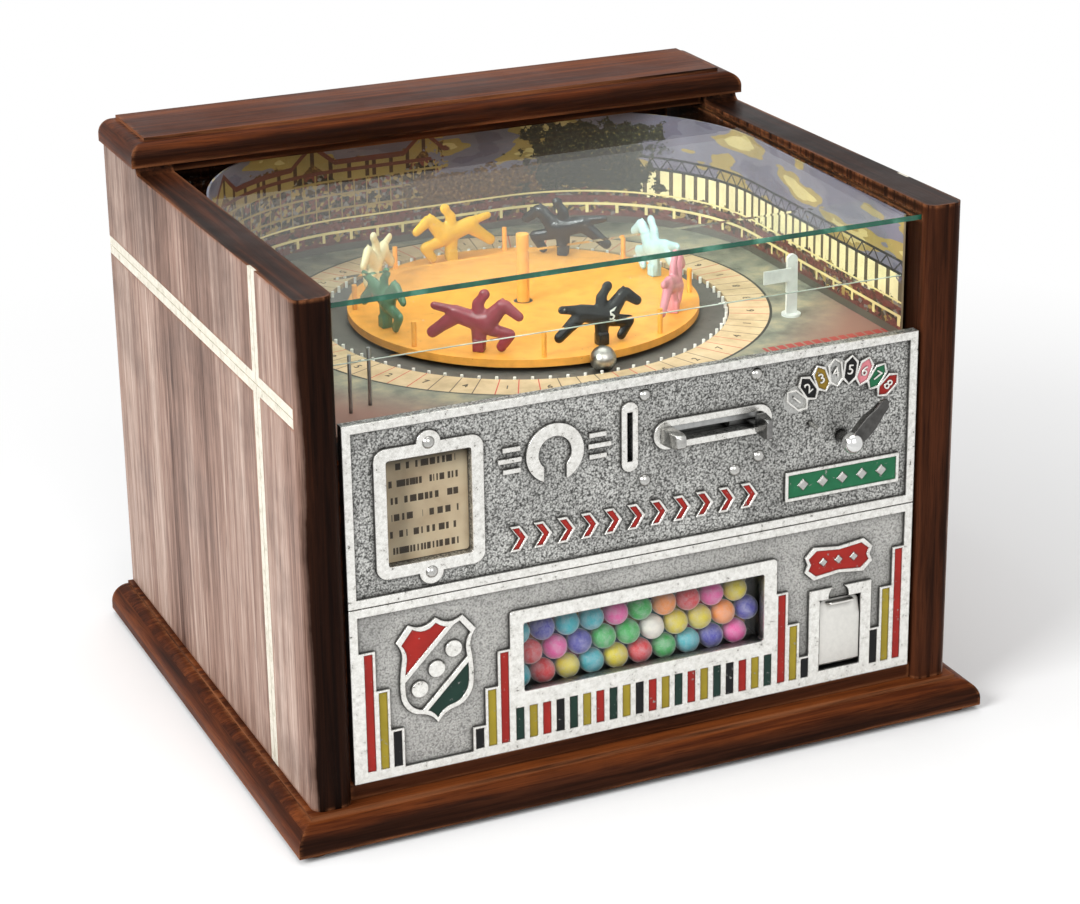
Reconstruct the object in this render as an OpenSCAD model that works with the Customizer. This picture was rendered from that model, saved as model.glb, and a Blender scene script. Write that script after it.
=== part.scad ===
// Counter-top horse-race game with a ball-gum vendor, in millimetres.
// The origin is the middle of the footprint, on the surface it stands on. +Z is up, the front faces -Y.

/* [Cabinet] */
// Width over the two side panels
cabinet_w = 350; // [340:1:380]
// Depth of the side panels
side_d = 303; // [300:1:330]
// Height of the side panels above the base board
side_h = 257; // [255:1:280]
// Thickness of a side panel
side_t = 20; // [18:0.5:24]
// Rounding of the side panels' front edges
side_edge_r = 6; // [3:0.5:7]
// Rise of the side panels' tops under the top rail
side_rise = 4; // [2:0.5:6]
// Fall of the side panels' tops from the front to the top rail
side_fall = 4; // [1:0.5:5]
// Thickness of the base board
base_t = 15; // [13:0.5:20]
// Overhang of the base board at the front and sides
base_over = 13; // [13:0.5:18]
// Height of the small corner feet
foot_h = 3; // [2:0.5:6]
// Radius of a foot
foot_r = 7; // [5:0.5:10]
// Height of the step between a moulded nose and its board's top
nose_step_h = 1.6; // [1:0.2:3]
// Width of the moulding outside that step
nose_step_w = 10; // [9:0.5:12]
// Height of the plain face under a moulding's round
nose_foot = 4; // [3:0.5:5]
// Depth of the top rail where it lies on the side panels
rail_d = 60; // [50:1:64]
// Thickness of the top rail
rail_t = 13; // [10:0.5:18]
// Overhang of the top rail's nose
rail_over = 2.5; // [2:0.5:6]
// Thickness of the header board under the top rail
header_t = 11; // [8:0.5:14]
// Width of an inlaid stripe
inlay_w = 4.6; // [3:0.2:5]
// Width of the line scored between the two stripes of a band
inlay_space = 0.6; // [0.4:0.1:3]
// Depth of the scored line
inlay_score = 0.5; // [0.2:0.1:0.8]
// Thickness of the inlay
inlay_t = 1.5; // [1:0.1:3]
// Height of the level inlay band's lower edge above the base board
inlay_z = 194; // [120:1:210]
// Distance of the upright inlay band from the cabinet's front
inlay_setback = 53; // [30:1:120]

/* [Front panels] */
// Height of the front rail under the panels
front_rail_h = 8.5; // [6:0.5:12]
// Thickness of the front rail
front_rail_t = 12; // [8:0.5:16]
// Height of the lower panel
lower_panel_h = 91; // [90:1:100]
// Height of the upper panel
upper_panel_h = 92; // [90:1:100]
// Thickness of a cast panel behind its relief
panel_t = 4; // [3.5:0.5:6]
// Recess of the panels behind the side panels' fronts
panel_recess = 5; // [4:0.5:7]
// Space between a panel's end and the side panel
panel_gap = 2; // [1:0.2:3]
// Space between the two panels
seam_gap = 0.6; // [0.3:0.1:1]
// Height of the raised rims, frames and figures
relief_h = 1.5; // [1:0.1:2.5]
// Thickness of the enamel fills
enamel_t = 0.9; // [0.5:0.1:0.9]
// Width of the raised border round a panel
border_w = 4.2; // [3:0.2:4.6]
// Width of the battens behind the panels and under the shelves
batten_w = 12; // [10:0.5:14]

/* [Card and slots] */
// Middle of the card window from the panel's left end
card_in = 42.5; // [39:0.5:46]
// Middle of the card window above the panel's lower edge
card_z = 44.8; // [42:0.2:47]
// Width of the card window
card_w = 43; // [38:0.5:45]
// Height of the card window
card_h = 53.5; // [48:0.5:55]
// Width of the raised frame round the card
card_frame_w = 6; // [4:0.5:7]
// Thickness of the card
card_t = 0.8; // [0.5:0.1:1]
// Thickness of the panes in the panels
pane_t = 2.5; // [2:0.1:3]
// Margin of a pane round its window
pane_margin = 4.5; // [4:0.5:6]
// Place of the coin slot across the panel
coin_x = -6.6; // [-9:0.2:-4]
// Middle of the coin slot above the panel's lower edge
coin_z = 62.3; // [60:0.2:64]
// Height of the coin slot
coin_h = 25.5; // [22:0.5:27]
// Width of the coin slot
coin_w = 3; // [2.4:0.1:3.4]
// Width of the rim round the coin slot
coin_rim = 2.8; // [2:0.2:3.5]
// Middle of the lever slot across the panel
slot_x = 38.5; // [37:0.5:40]
// Middle of the lever slot above the panel's lower edge
slot_z = 60; // [58:0.5:62]
// Length of the lever slot
slot_l = 58; // [57:0.5:62]
// Height of the lever slot
slot_h = 8.5; // [8:0.1:10]
// Width of the rim round the lever slot
slot_rim = 3.2; // [2:0.2:4]
// Radius of a domed rivet's head
rivet_r = 3.4; // [2.5:0.1:4]
// Radius of a rivet's shank
rivet_shank_r = 1.5; // [1:0.1:2]

/* [Dial] */
// Pivot of the pointer from the panel's right end
dial_in = 42.5; // [41:0.5:45]
// Pivot of the pointer above the panel's lower edge
dial_z = 43; // [42:0.5:44]
// Distance of the number plates from the pivot
dial_r = 34.5; // [33:0.5:36]
// Angle from one number plate to the next
dial_pitch = 13.75; // [13:0.05:14.2]
// Length of a number plate
plate_l = 15.6; // [13:0.2:17]
// Width of a number plate
plate_w = 8; // [7:0.1:8.2]
// Radius of the pointer's shaft
pointer_shaft_r = 3; // [2.5:0.1:4]
// Radius of the pointer's ball end
pointer_ball_r = 5.4; // [4:0.2:6]
// Length of the pointer from its pivot
pointer_l = 28; // [24:0.5:30]
// Distance of the pointer's stop pin from the pivot
stop_r = 20; // [17:0.5:22]

/* [Lower panel] */
// Middle of the gum window across the panel
window_x = 2; // [0:0.5:4]
// Middle of the gum window above the panel's lower edge
window_z = 49.1; // [48:0.2:50]
// Ends of the gum window from the panel's ends, for a window in the middle
window_in = 87; // [86:0.5:90]
// Height of the gum window
window_h = 36.8; // [34:0.2:38]
// Width of the raised frame round the gum window
window_frame = 7; // [5:0.5:7.5]
// Width of an enamel bar
bar_w = 4.4; // [3.6:0.1:4.6]
// Width of the bright rim round an enamel bar
bar_rim = 1; // [0.6:0.1:1.1]
// Spacing of the stepped bars
bar_pitch = 6.8; // [6.7:0.05:7]
// Number of bars in the row under the window
row_count = 20; // [20:1:20]
// Middle of the gum door from the panel's right end
door_in = 41; // [40:0.5:42]
// Width of the gum door's opening
door_w = 24; // [22:0.5:25]
// Height of the gum door's opening
door_h = 39.5; // [36:0.5:41]
// Lower edge of the gum door's opening above the panel's lower edge
door_z = 7; // [6:0.2:8]
// Width of the raised frame round the gum door
door_frame = 6; // [4:0.5:6]
// Thickness of the gum door
door_t = 2.5; // [2:0.1:3]
// Radius of the gum door's hinge pin
hinge_pin_r = 1.5; // [1.2:0.1:1.8]

/* [Playfield] */
// Height of the playfield board's top above the base board
board_z = 181; // [179:0.5:183]
// Thickness of the playfield board
board_t = 9; // [7:0.5:10]
// Gap between the front panel and the playfield board
board_gap = 5; // [3:0.5:6]
// Thickness of the printed card on the board
print_t = 2.5; // [1.5:0.1:3]
// Radius of the turntable
disc_r = 91.5; // [86:0.5:93]
// Thickness of the turntable
disc_t = 4; // [3:0.2:5]
// Height of the turntable's underside above the board
disc_lift = 3; // [2.4:0.1:4]
// Radius of the ball
ball_r = 6.6; // [6:0.1:7]
// Distance of the track pins outside the ball's path
pin_offset = 6.7; // [6.5:0.1:7.5]
// Height of the track pins
pin_h = 3.3; // [2.8:0.1:3.4]
// Radius of a track pin
pin_r = 0.8; // [0.5:0.05:0.9]
// Number of track pins
pin_count = 76; // [40:4:80]
// Distance of the horses from the turntable's axis
horse_r = 80; // [76:0.5:82]
// Length of a horse
horse_l = 50; // [44:0.5:52]
// Thickness of a horse's body
horse_t = 6.4; // [5:0.2:8]
// Turn of the first horse about the turntable's axis
horse_turn = -129.5; // [-180:0.5:180]
// Height of the lane posts
post_h = 13; // [8:0.5:18]
// Radius of the lane posts
post_r = 1.3; // [1:0.1:2]
// Distance of the lane posts from the turntable's axis
post_ring_r = 87.5; // [83:0.5:89]
// Height of the centre post
centre_h = 36; // [25:0.5:40]
// Radius of the centre post
centre_r = 3.3; // [2.5:0.1:4]
// Height of the top glass's upper face above the base board
glass_z = 251; // [250:0.5:252]
// Thickness of the top glass
glass_t = 2.5; // [2.2:0.1:4]
// Depth of the glass grooves in the side panels
glass_groove = 3; // [2:0.2:5]
// Height of the inner glass strip's lower edge above the base board
strip_z = 218; // [212:0.5:222]
// Distance of that lower edge behind the side panels' fronts
strip_y = 18; // [16:0.5:24]
// Lean of the inner glass strip from upright
strip_lean = 46; // [40:0.5:50]
// Corner radius of the curved backdrop
backdrop_r = 105; // [80:1:120]
// Thickness of the backdrop
backdrop_t = 1.2; // [0.8:0.1:2]

/* [Drive] */
// Module of the gear teeth
tooth_m = 2; // [2:0.05:2.05]
// Teeth on the idler gear
idler_n = 66; // [64:1:66]
// Teeth on the spindle pinion
pinion_n = 18; // [17:1:19]
// Thickness of the gears
gear_t = 6; // [5:0.2:7]
// Travel of the play lever
lever_travel = 40; // [30:1:42]
// Depth of the rack behind its teeth
rack_body = 6; // [5:0.2:7]
// Height of the rack
rack_h = 10; // [9:0.2:11]
// Play between meshing teeth at the pitch line
backlash = 0.3; // [0.2:0.02:0.4]
// Radius of the turntable's spindle
spindle_r = 5; // [4:0.1:6]
// Radius of the idler shaft
idler_shaft_r = 4; // [3:0.1:5]
// Thickness of the mechanism plate
mech_t = 3; // [2:0.2:4]
// Radial clearance of the running fits
run_fit = 0.05; // [0.03:0.01:0.1]
// Clearance between sliding and swinging pieces
slide_fit = 0.4; // [0.3:0.05:0.6]
// Clearance between pieces that only pass each other
pass_gap = 0.8; // [0.6:0.1:1.2]

/* [Gum and coins] */
// Diameter of a gum ball
gum_d = 13; // [12:0.2:13.2]
// Thickness of the tinplate pieces
sheet_t = 1.2; // [0.8:0.1:1.6]
// Depth of the gum hopper
hopper_d = 29; // [28:0.5:31]
// Radius of the gum wheel
gum_wheel_r = 42; // [38:0.5:44]
// Height of the coin box
coin_box_h = 42; // [30:1:44]
// Width of the coin box
coin_box_w = 100; // [80:1:120]
// Depth of the coin box
coin_box_d = 120; // [90:1:150]

/* [Rear door] */
// Thickness of the rear door
rear_t = 12; // [10:0.5:14]
// Inset of the rear door from the cabinet's rear
rear_inset = 6; // [4:0.5:8]
// Radius of the rear door's pivot pins
pivot_r = 2.5; // [2:0.1:3]
// Radius of the lock's plug
lock_r = 7; // [5:0.2:9]
// Length of the lock's cam from its axis
cam_l = 25; // [24:0.5:26]

/* [Hidden] */
$fn = 48;

// Cabinet places
x_in = cabinet_w / 2 - side_t;
y_front = -(side_d + base_over) / 2 + base_over;
y_rear = y_front + side_d;
z_base = foot_h + base_t;
z_side = z_base + side_h;
z_rear_top = z_side - side_fall;
z_rail = z_rear_top + side_rise;
foot_inset = foot_r + 4;
inlay_band = 2 * inlay_w + inlay_space;

// Panel places
panel_x = x_in - panel_gap;
card_x = card_in - panel_x;
dial_x = panel_x - dial_in;
door_x = panel_x - door_in;
window_w = 2 * (panel_x - window_in);
y_face = y_front + panel_recess;
y_back = y_face + panel_t;
z_lower = z_base + front_rail_h;
z_upper = z_lower + lower_panel_h + seam_gap;
z_panel_top = z_upper + upper_panel_h;

// Playfield places: the turntable turns about the Z axis
z_board = z_base + board_z;
z_print = z_board + print_t;
z_disc = z_board + disc_lift;
z_track = z_disc + disc_t;
y_board_front = y_back + board_gap;
y_shelf_rear = y_rear - rear_inset - rear_t - 2;
path_r = disc_r + 0.7 + ball_r;
pin_ring_r = path_r + pin_offset;
print_r = pin_ring_r + pin_r + 0.7;
ball_turn = -90.4;
z_glass = z_base + glass_z;
backdrop_x = x_in - 2;
backdrop_front = y_board_front + 5;
backdrop_rear = y_shelf_rear - 1;

// Drive places
z_slot = z_upper + slot_z;
face_t = 0.8;
rack_gap = face_t + 0.5;
rack_front = y_back + rack_gap;
dedendum = 1.25 * tooth_m;
rack_pitch_y = rack_front + rack_body + dedendum;
idler_r = tooth_m * idler_n / 2;
pinion_r = tooth_m * pinion_n / 2;
idler_y = rack_pitch_y + idler_r;
idler_x = sqrt(pow(idler_r + pinion_r, 2) - pow(idler_y, 2));
z_gear = z_slot - gear_t / 2;
z_mech = z_gear - 12;
rack_x0 = idler_x - 8;
rack_x1 = idler_x + lever_travel + 8;
lever_x = slot_x + slot_l / 2 - 5.5;
pitch_len = PI * tooth_m;
centre_line = atan2(-idler_y, -idler_x);
idler_phase = -90;
pinion_phase = centre_line + 180 - idler_n / pinion_n * (idler_phase - centre_line) + 180 / pinion_n;
ratchet_r = 12;
ratchet_t = 4;
guide_end = 5;
anchor_x = x_in - batten_w - guide_end - 3.4;
spring_l = anchor_x - rack_x1;
guide_bar = 4.2;
guide_lip = 1.5;
guide_d = rack_body + rack_gap + slide_fit + guide_lip;

// Gum places
hopper_x0 = window_x - window_w / 2 - pane_margin - sheet_t - 0.5;
hopper_x1 = window_x + window_w / 2 + pane_margin + sheet_t + 0.5;
hopper_z0 = z_lower + window_z - window_h / 2 - pane_margin - sheet_t - 0.3;
hopper_h = window_h + 2 * pane_margin + 1;
y_hopper = y_back + pane_t;
y_hopper_rear = y_hopper + hopper_d;
gum_pitch = gum_d + 0.3;
gum_count = floor((hopper_x1 - hopper_x0 - 2 * sheet_t) / gum_pitch - 0.5);
table_z0 = hopper_z0;
wheel_z0 = table_z0 + sheet_t + 0.5;
wheel_t = gum_d - 1;
pocket_r = gum_d / 2 + 0.8;
pocket_ring_r = gum_wheel_r - 3;
pocket_turn = -55;
table_reach = gum_wheel_r * 2 / 7;
foot_bore = 10;
end_play = 0.3;
cup_x1 = door_x + door_w / 2 + 1;
cup_x0 = idler_x + pocket_ring_r * cos(pocket_turn) - pocket_r - 4;
cup_y1 = idler_y + pocket_ring_r * sin(pocket_turn) + pocket_r + 2;
cup_z0 = z_lower + door_z + 0.5;
z_door = z_lower + door_z;
hinge_r = 3;
hinge_z = z_door + hinge_r + pass_gap;
hinge_y = y_back - 1;

// Rear door places
rear_y0 = y_rear - rear_inset - rear_t;
rear_mid = rear_y0 + rear_t / 2;
pivot_x = -x_in + rear_t / 2 + 0.5;
lock_x = x_in - 20;
lock_z = z_base + 132;
cam_w = 8;
cam_t = 2;
cam_gap = 1;
cam_sweep = sqrt(cam_l * cam_l + cam_w * cam_w / 4 - pow(x_in - lock_x, 2));

// Colours, as the photograph shows them
wood = [0.33, 0.19, 0.12];
cast = [0.78, 0.78, 0.77];
steel = [0.62, 0.63, 0.65];
brass = [0.74, 0.6, 0.3];
cream = [0.9, 0.88, 0.8];
orange = [0.9, 0.62, 0.24];
red = [0.74, 0.12, 0.1];
yellow = [0.82, 0.68, 0.14];
black = [0.07, 0.07, 0.08];
green = [0.1, 0.36, 0.22];
pink = [0.9, 0.55, 0.6];
clear = [0.75, 0.88, 0.84, 0.35];

// A drawing in x and z, given a thickness towards the rear
module facing(y, t) {
    translate([0, y + t, 0]) rotate([90, 0, 0]) linear_extrude(t) children();
}

// A drawing in y and z, given a length along x
module lengthwise(x, t) {
    translate([x, 0, 0]) rotate([90, 0, 90]) linear_extrude(t) children();
}

// A box between two corners
module between(a, b) {
    translate(a) cube(b - a);
}

// A rod along Y
module rod_y(r, y0, y1) {
    translate([0, y1, 0]) rotate([90, 0, 0]) cylinder(r = r, h = y1 - y0);
}

module round_rect(w, h, r) {
    square([w - 2 * r, h], center = true);
    square([w, h - 2 * r], center = true);
    for (sx = [-1, 1], sy = [-1, 1])
        translate([sx * (w / 2 - r), sy * (h / 2 - r)]) circle(r);
}

// A round-ended bar from one point to another, a hair slimmer between its ends
module limb(a, b, r) {
    d = b - a;
    waist = 0.97 * r;
    translate(a) circle(r);
    translate(b) circle(r);
    translate(a) rotate(atan2(d[1], d[0])) translate([0, -waist]) square([norm(d), 2 * waist]);
}

// Half of a moulded board's section: a step, a quarter round and a plain foot
module nose_section(l, t) {
    r = t - nose_step_h - nose_foot;
    square([l - nose_step_w, t]);
    square([l - r, t - nose_step_h]);
    square([l, nose_foot]);
    intersection() {
        translate([l - r, nose_foot]) circle(r);
        translate([l - r - 1, nose_foot - 1]) square([r + 2, r + 2]);
    }
}

// A board with the moulded nose at its front and both ends
module moulded_board(half_w, y0, y1, t) {
    intersection() {
        lengthwise(-half_w, 2 * half_w) translate([y1, 0]) mirror([1, 0]) nose_section(y1 - y0, t);
        facing(y0, y1 - y0) union() {
            nose_section(half_w, t);
            mirror([1, 0]) nose_section(half_w, t);
        }
    }
}

module base_board() {
    color(wood) difference() {
        translate([0, 0, foot_h])
            moulded_board(cabinet_w / 2 + base_over, y_front - base_over, y_rear, base_t);
        translate([pivot_x, rear_mid, foot_h + base_t / 2]) cylinder(r = pivot_r, h = base_t);
    }
}

module base_feet() {
    x = cabinet_w / 2 + base_over - foot_inset;
    color(wood) for (sx = [-1, 1], y = [y_front - base_over + foot_inset, y_rear - foot_inset])
        translate([sx * x, y, 0]) cylinder(r = foot_r, h = foot_h);
}

module inlay_pattern() {
    translate([y_front + side_edge_r, z_base + inlay_z]) square([side_d - side_edge_r, inlay_band]);
    translate([y_front + inlay_setback, z_base]) square([inlay_band, side_h]);
}

// The lines scored between the stripes of each band
module inlay_lines() {
    translate([y_front, z_base + inlay_z + inlay_w]) square([side_d + 1, inlay_space]);
    translate([y_front + inlay_setback + inlay_w, z_base - 1]) square([inlay_space, side_h + 2]);
}

module side_plan() {
    translate([0, y_front + side_edge_r]) square([side_t, side_d - side_edge_r]);
    translate([side_edge_r, y_front]) square([side_t - 2 * side_edge_r, side_edge_r]);
    for (x = [side_edge_r, side_t - side_edge_r])
        translate([x, y_front + side_edge_r]) circle(side_edge_r);
}

// What is planed off the side panels' tops, so that they fall to the rear
module top_fall() {
    translate([-cabinet_w / 2 - 1, y_front - 1, z_side])
        rotate([-atan(side_fall / (side_d - rail_d)), 0, 0])
            cube([side_t + 2, 2 * side_d, 4 * side_fall]);
}

// The left side panel; the right one is its mirror image
module side_shape() {
    y_rise = y_rear - rail_d;
    difference() {
        union() {
            difference() {
                translate([-cabinet_w / 2, 0, z_base]) linear_extrude(side_h) side_plan();
                top_fall();
            }
            translate([-cabinet_w / 2, 0, 0]) {
                between([0, y_rise, z_rear_top - 5], [side_t, y_rear, z_rail]);
                difference() {
                    between([0, y_rise - side_rise, z_rear_top - 1], [side_t, y_rise, z_rail]);
                    translate([-1, y_rise - side_rise, z_rail]) rotate([0, 90, 0])
                        cylinder(r = side_rise, h = side_t + 2);
                }
            }
        }
        lengthwise(-cabinet_w / 2, inlay_t) inlay_pattern();
        between([-x_in - glass_groove, y_face + 2.7, z_glass - glass_t - 0.2],
                [-x_in + 1, y_rear + 1, z_glass + 0.2]);
    }
}

module side_panel_left() {
    color(wood) side_shape();
}

module side_panel_right() {
    color(wood) difference() {
        mirror([1, 0, 0]) side_shape();
        between([x_in - 1, rear_y0 - cam_gap - cam_t - 0.6, lock_z - cam_sweep - 2],
                [lock_x + cam_l + 1, rear_y0 - cam_gap + 0.6, lock_z + cam_w]);
    }
}

module side_inlays() {
    color(cream) for (m = [0, 1]) mirror([m, 0, 0]) difference() {
        lengthwise(-cabinet_w / 2, inlay_t) inlay_pattern();
        lengthwise(-cabinet_w / 2 - 1, inlay_score + 1) inlay_lines();
        top_fall();
    }
}

module front_rail() {
    color(wood) between([-x_in, y_face, z_base], [x_in, y_face + front_rail_t, z_lower]);
}

module top_rail() {
    color(wood) difference() {
        translate([0, 0, z_rail])
            moulded_board(cabinet_w / 2 + rail_over, y_rear - rail_d - rail_over, y_rear, rail_t);
        translate([pivot_x, rear_mid, z_rail - 1]) cylinder(r = pivot_r, h = rail_t / 2 + 1);
    }
}

module header_board() {
    y = y_rear - rail_d + 4;
    color(wood) between([-x_in, y, z_glass + 0.4], [x_in, y + header_t, z_rail]);
}

// Battens on the side panels: behind the front panels and under both shelves
module battens() {
    y0 = y_back + batten_w + 2;
    color(wood) for (m = [0, 1]) mirror([m, 0, 0]) {
        between([x_in - batten_w, y_back, z_lower], [x_in, y_back + batten_w, z_board - board_t]);
        between([x_in - batten_w, y0, z_board - board_t - batten_w], [x_in, y_shelf_rear, z_board - board_t]);
        between([x_in - batten_w, idler_y - idler_r + 20, z_mech - mech_t - batten_w],
                [x_in, y_shelf_rear - 60, z_mech - mech_t]);
    }
}

// Upper panel drawings, in x and z
module upper_plate() {
    translate([-panel_x, z_upper]) square([2 * panel_x, upper_panel_h]);
}

module at_card() {
    translate([card_x, z_upper + card_z]) children();
}

module card_frame() {
    at_card() {
        round_rect(card_w + 2 * card_frame_w, card_h + 2 * card_frame_w, card_frame_w);
        for (s = [-1, 1]) translate([0, s * (card_h / 2 + card_frame_w)]) circle(card_frame_w);
    }
}

module card_hole() {
    at_card() round_rect(card_w, card_h, 1.5);
}

module coin_hole() {
    translate([coin_x, z_upper + coin_z]) square([coin_w, coin_h], center = true);
}

module coin_rim_shape() {
    w = coin_w + 2 * coin_rim;
    translate([coin_x, z_upper + coin_z]) round_rect(w, coin_h + 3.6 * coin_rim, w / 2 - 0.01);
}

module slot_shape(grow) {
    translate([slot_x, z_slot])
        round_rect(slot_l + 2 * grow, slot_h + 2 * grow, slot_h / 2 + grow - 0.01);
}

module plate_shape(k, inset) {
    l = plate_l / 2 - inset;
    w = plate_w / 2 - inset;
    tip = plate_w * 0.4;
    translate([dial_x, z_upper + dial_z]) rotate(-(k - 4.5) * dial_pitch) translate([0, dial_r])
        polygon([[0, l], [w, l - tip], [w, tip - l], [0, -l], [-w, tip - l], [-w, l - tip]]);
}

plaque_w = 65;
plaque_h = 15.6;
plaque_rim = 1.6;
module dial_plaque(inset) {
    translate([dial_x + 1, z_upper + 20.5])
        square([plaque_w - 2 * inset, plaque_h - 2 * inset], center = true);
}

// The ornament beside the slots: a horseshoe between speed lines over a row of chevrons
shoe_x = -46;
shoe_z = 61;
shoe_r = 15;
chevron_count = 11;
chevron_pitch = 12.4;
chevron_rim = 1;
module horseshoe() {
    translate([shoe_x, z_upper + shoe_z]) difference() {
        circle(shoe_r);
        circle(shoe_r * 0.58);
        translate([0, -shoe_r]) square([shoe_r * 0.8, shoe_r * 2], center = true);
    }
}

module speed_lines() {
    for (s = [-1, 1], k = [-1, 0, 1])
        translate([shoe_x + s * (shoe_r + 8.5 - abs(k)), z_upper + shoe_z + 5.5 * k])
            square([12 - 3 * abs(k), 2.2], center = true);
}

module chevrons(inset) {
    h = 6.5 - inset;
    for (k = [0 : chevron_count - 1])
        translate([-66 + k * chevron_pitch, z_upper + 20.5])
            polygon([[-4 + inset, h], [1 - inset / 2, h], [5.5 - inset * 1.5, 0], [1 - inset / 2, -h],
                     [-4 + inset, -h], [0.5 + inset / 2, 0]]);
}

module frame_border(x0, z0, x1, z1) {
    difference() {
        translate([x0, z0]) square([x1 - x0, z1 - z0]);
        translate([x0 + border_w, z0 + border_w])
            square([x1 - x0 - 2 * border_w, z1 - z0 - 2 * border_w]);
    }
}

module upper_relief() {
    difference() {
        union() {
            frame_border(-panel_x, z_upper, panel_x, z_panel_top);
            card_frame();
            coin_rim_shape();
            slot_shape(slot_rim);
            horseshoe();
            speed_lines();
        }
        card_hole();
        coin_hole();
        slot_shape(0);
    }
    difference() {
        dial_plaque(0);
        dial_plaque(plaque_rim);
    }
    difference() {
        chevrons(0);
        chevrons(chevron_rim);
    }
    for (k = [1 : 8]) difference() {
        plate_shape(k, 0);
        plate_shape(k, 0.9);
    }
}

// Rivets: four round the lever slot, a fifth under it, and two on the card frame's lugs; the stop pin
rivet_places = concat(
    [for (p = [[-36.5, 22], [24.2, 23], [-36.5, -22], [12.6, -25.3], [25.9, -20.2]])
        [slot_x + p[0], z_slot + p[1], 0]],
    [for (s = [-1, 1]) [card_x, z_upper + card_z + s * (card_h / 2 + card_frame_w), relief_h]]);

module upper_front_panel() {
    color(cast) difference() {
        union() {
            facing(y_face, panel_t) difference() {
                upper_plate();
                card_hole();
                coin_hole();
                slot_shape(0);
            }
            facing(y_face - relief_h, relief_h) upper_relief();
        }
        for (p = rivet_places) translate([p[0], 0, p[1]]) rod_y(rivet_shank_r, y_face - 5, y_back + 1);
        translate([dial_x, 0, z_upper + dial_z]) rod_y(pointer_shaft_r + run_fit, y_face - 5, y_back + 1);
        translate([stop_x, 0, stop_z]) rod_y(stop_pin_r, y_face - 5, y_back + 1);
    }
}

module panel_rivets() {
    color(cast) for (p = rivet_places) translate([p[0], 0, p[1]]) {
        rod_y(rivet_shank_r, y_face - p[2], y_back);
        translate([0, y_face - p[2], 0]) rotate([90, 0, 0]) intersection() {
            translate([0, 0, -rivet_r * 0.35]) sphere(rivet_r);
            cylinder(r = rivet_r + 1, h = rivet_r);
        }
    }
    color(steel) translate([stop_x, 0, stop_z]) rod_y(stop_pin_r, y_face - stop_pin_l, y_back);
}

stop_turn = -62;
stop_pin_r = 1.3;
stop_pin_l = 10;
stop_x = dial_x + stop_r * sin(stop_turn);
stop_z = z_upper + dial_z + stop_r * cos(stop_turn);
module instruction_card() {
    y = y_back + pane_t;
    color(cream) facing(y, card_t) at_card()
        square([card_w + 2 * pane_margin, card_h + 2 * pane_margin], center = true);
}

module panel_panes() {
    color(clear) {
        facing(y_back, pane_t) at_card()
            square([card_w + 2 * pane_margin, card_h + 2 * pane_margin], center = true);
        facing(y_back, pane_t) translate([window_x, z_lower + window_z])
            square([window_w + 2 * pane_margin, window_h + 2 * pane_margin], center = true);
    }
}

// Lower panel drawings, in x and z
outer_tops = [67, 46, 24];
inner_tops = [54, 35.5, 16];
bar_foot = border_w + bar_rim;
window_left = window_x - window_w / 2 - window_frame;
window_right = window_x + window_w / 2 + window_frame;
bar_half = bar_w / 2 + bar_rim;
stairs = [
    [-panel_x + border_w + bar_half + 1.6, 1, outer_tops],
    [window_left - bar_half, -1, inner_tops],
    [window_right + bar_half, 1, inner_tops],
    [panel_x - border_w - bar_half, -1, outer_tops]];
row_colours = "gyrkgyrgykrygrygkryg";
row_pitch = (window_right - window_left - 2) / row_count;
row_bar_w = bar_w;

module stair_bars(k, grow) {
    for (s = stairs) translate([s[0] + s[1] * k * bar_pitch - bar_w / 2 - grow, z_lower + bar_foot - grow])
        square([bar_w + 2 * grow, s[2][k] - bar_foot + 2 * grow]);
}

module row_bars(c, grow) {
    top = window_z - window_h / 2 - window_frame - bar_rim;
    for (i = [0 : row_count - 1]) if (c == "" || row_colours[i] == c)
        translate([window_left + 1 + (i + 0.5) * row_pitch - row_bar_w / 2 - grow, z_lower + bar_foot - grow])
            square([row_bar_w + 2 * grow, top - bar_foot + 2 * grow]);
}

// The polished steps that the stepped bars are let into, out to the panel's border
module stair_plateau() {
    for (s = stairs, k = [0 : 2])
        translate([s[0] + s[1] * k * bar_pitch - bar_pitch / 2 - 0.1, z_lower])
            square([bar_pitch + 0.2, s[2][k] + bar_rim]);
    for (m = [0, 1]) mirror([m, 0]) translate([-panel_x, z_lower])
        square([border_w + bar_half + 1, outer_tops[0] + bar_rim]);
}

shield_w = 41;
shield_h = 56;
shield_x = 43.7 - panel_x;
shield_z = 51.5;
shield_rim = 2.6;
ridge_w = 2.4;
band_half = 10;
stud_r = 4.2;

// A curve from one point to another, drawn towards a third
function sweep(a, c, b) = [for (k = [0 : 5]) let(t = k / 6, u = 1 - t) u * u * a + 2 * t * u * c + t * t * b];

// Right half of the shield, as shares of its half width and half height, from its top point down
shield_half = concat(
    sweep([0, 1], [0.32, 0.78], [0.68, 0.95]), [[0.68, 0.95]],
    sweep([1, 0.66], [0.82, 0.5], [0.86, 0.3]), sweep([0.86, 0.3], [0.96, -0.1], [0.9, -0.42]),
    sweep([0.9, -0.42], [0.78, -0.72], [0.4, -0.76]), sweep([0.4, -0.76], [0.14, -0.8], [0, -0.98]),
    [[0, -0.98]]);
module shield_outline(inset) {
    w = shield_w / 2 - inset;
    h = shield_h / 2 - inset;
    n = len(shield_half);
    translate([shield_x, z_lower + shield_z]) polygon(concat(
        [for (q = shield_half) [q[0] * w, q[1] * h]],
        [for (k = [n - 2 : -1 : 1]) [-shield_half[k][0] * w, shield_half[k][1] * h]]));
}

// A band across the shield, between two distances from its diagonal
module shield_band(from, to) {
    translate([shield_x, z_lower + shield_z + 1]) rotate(45)
        translate([-shield_h, from]) square([2 * shield_h, to - from]);
}

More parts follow.
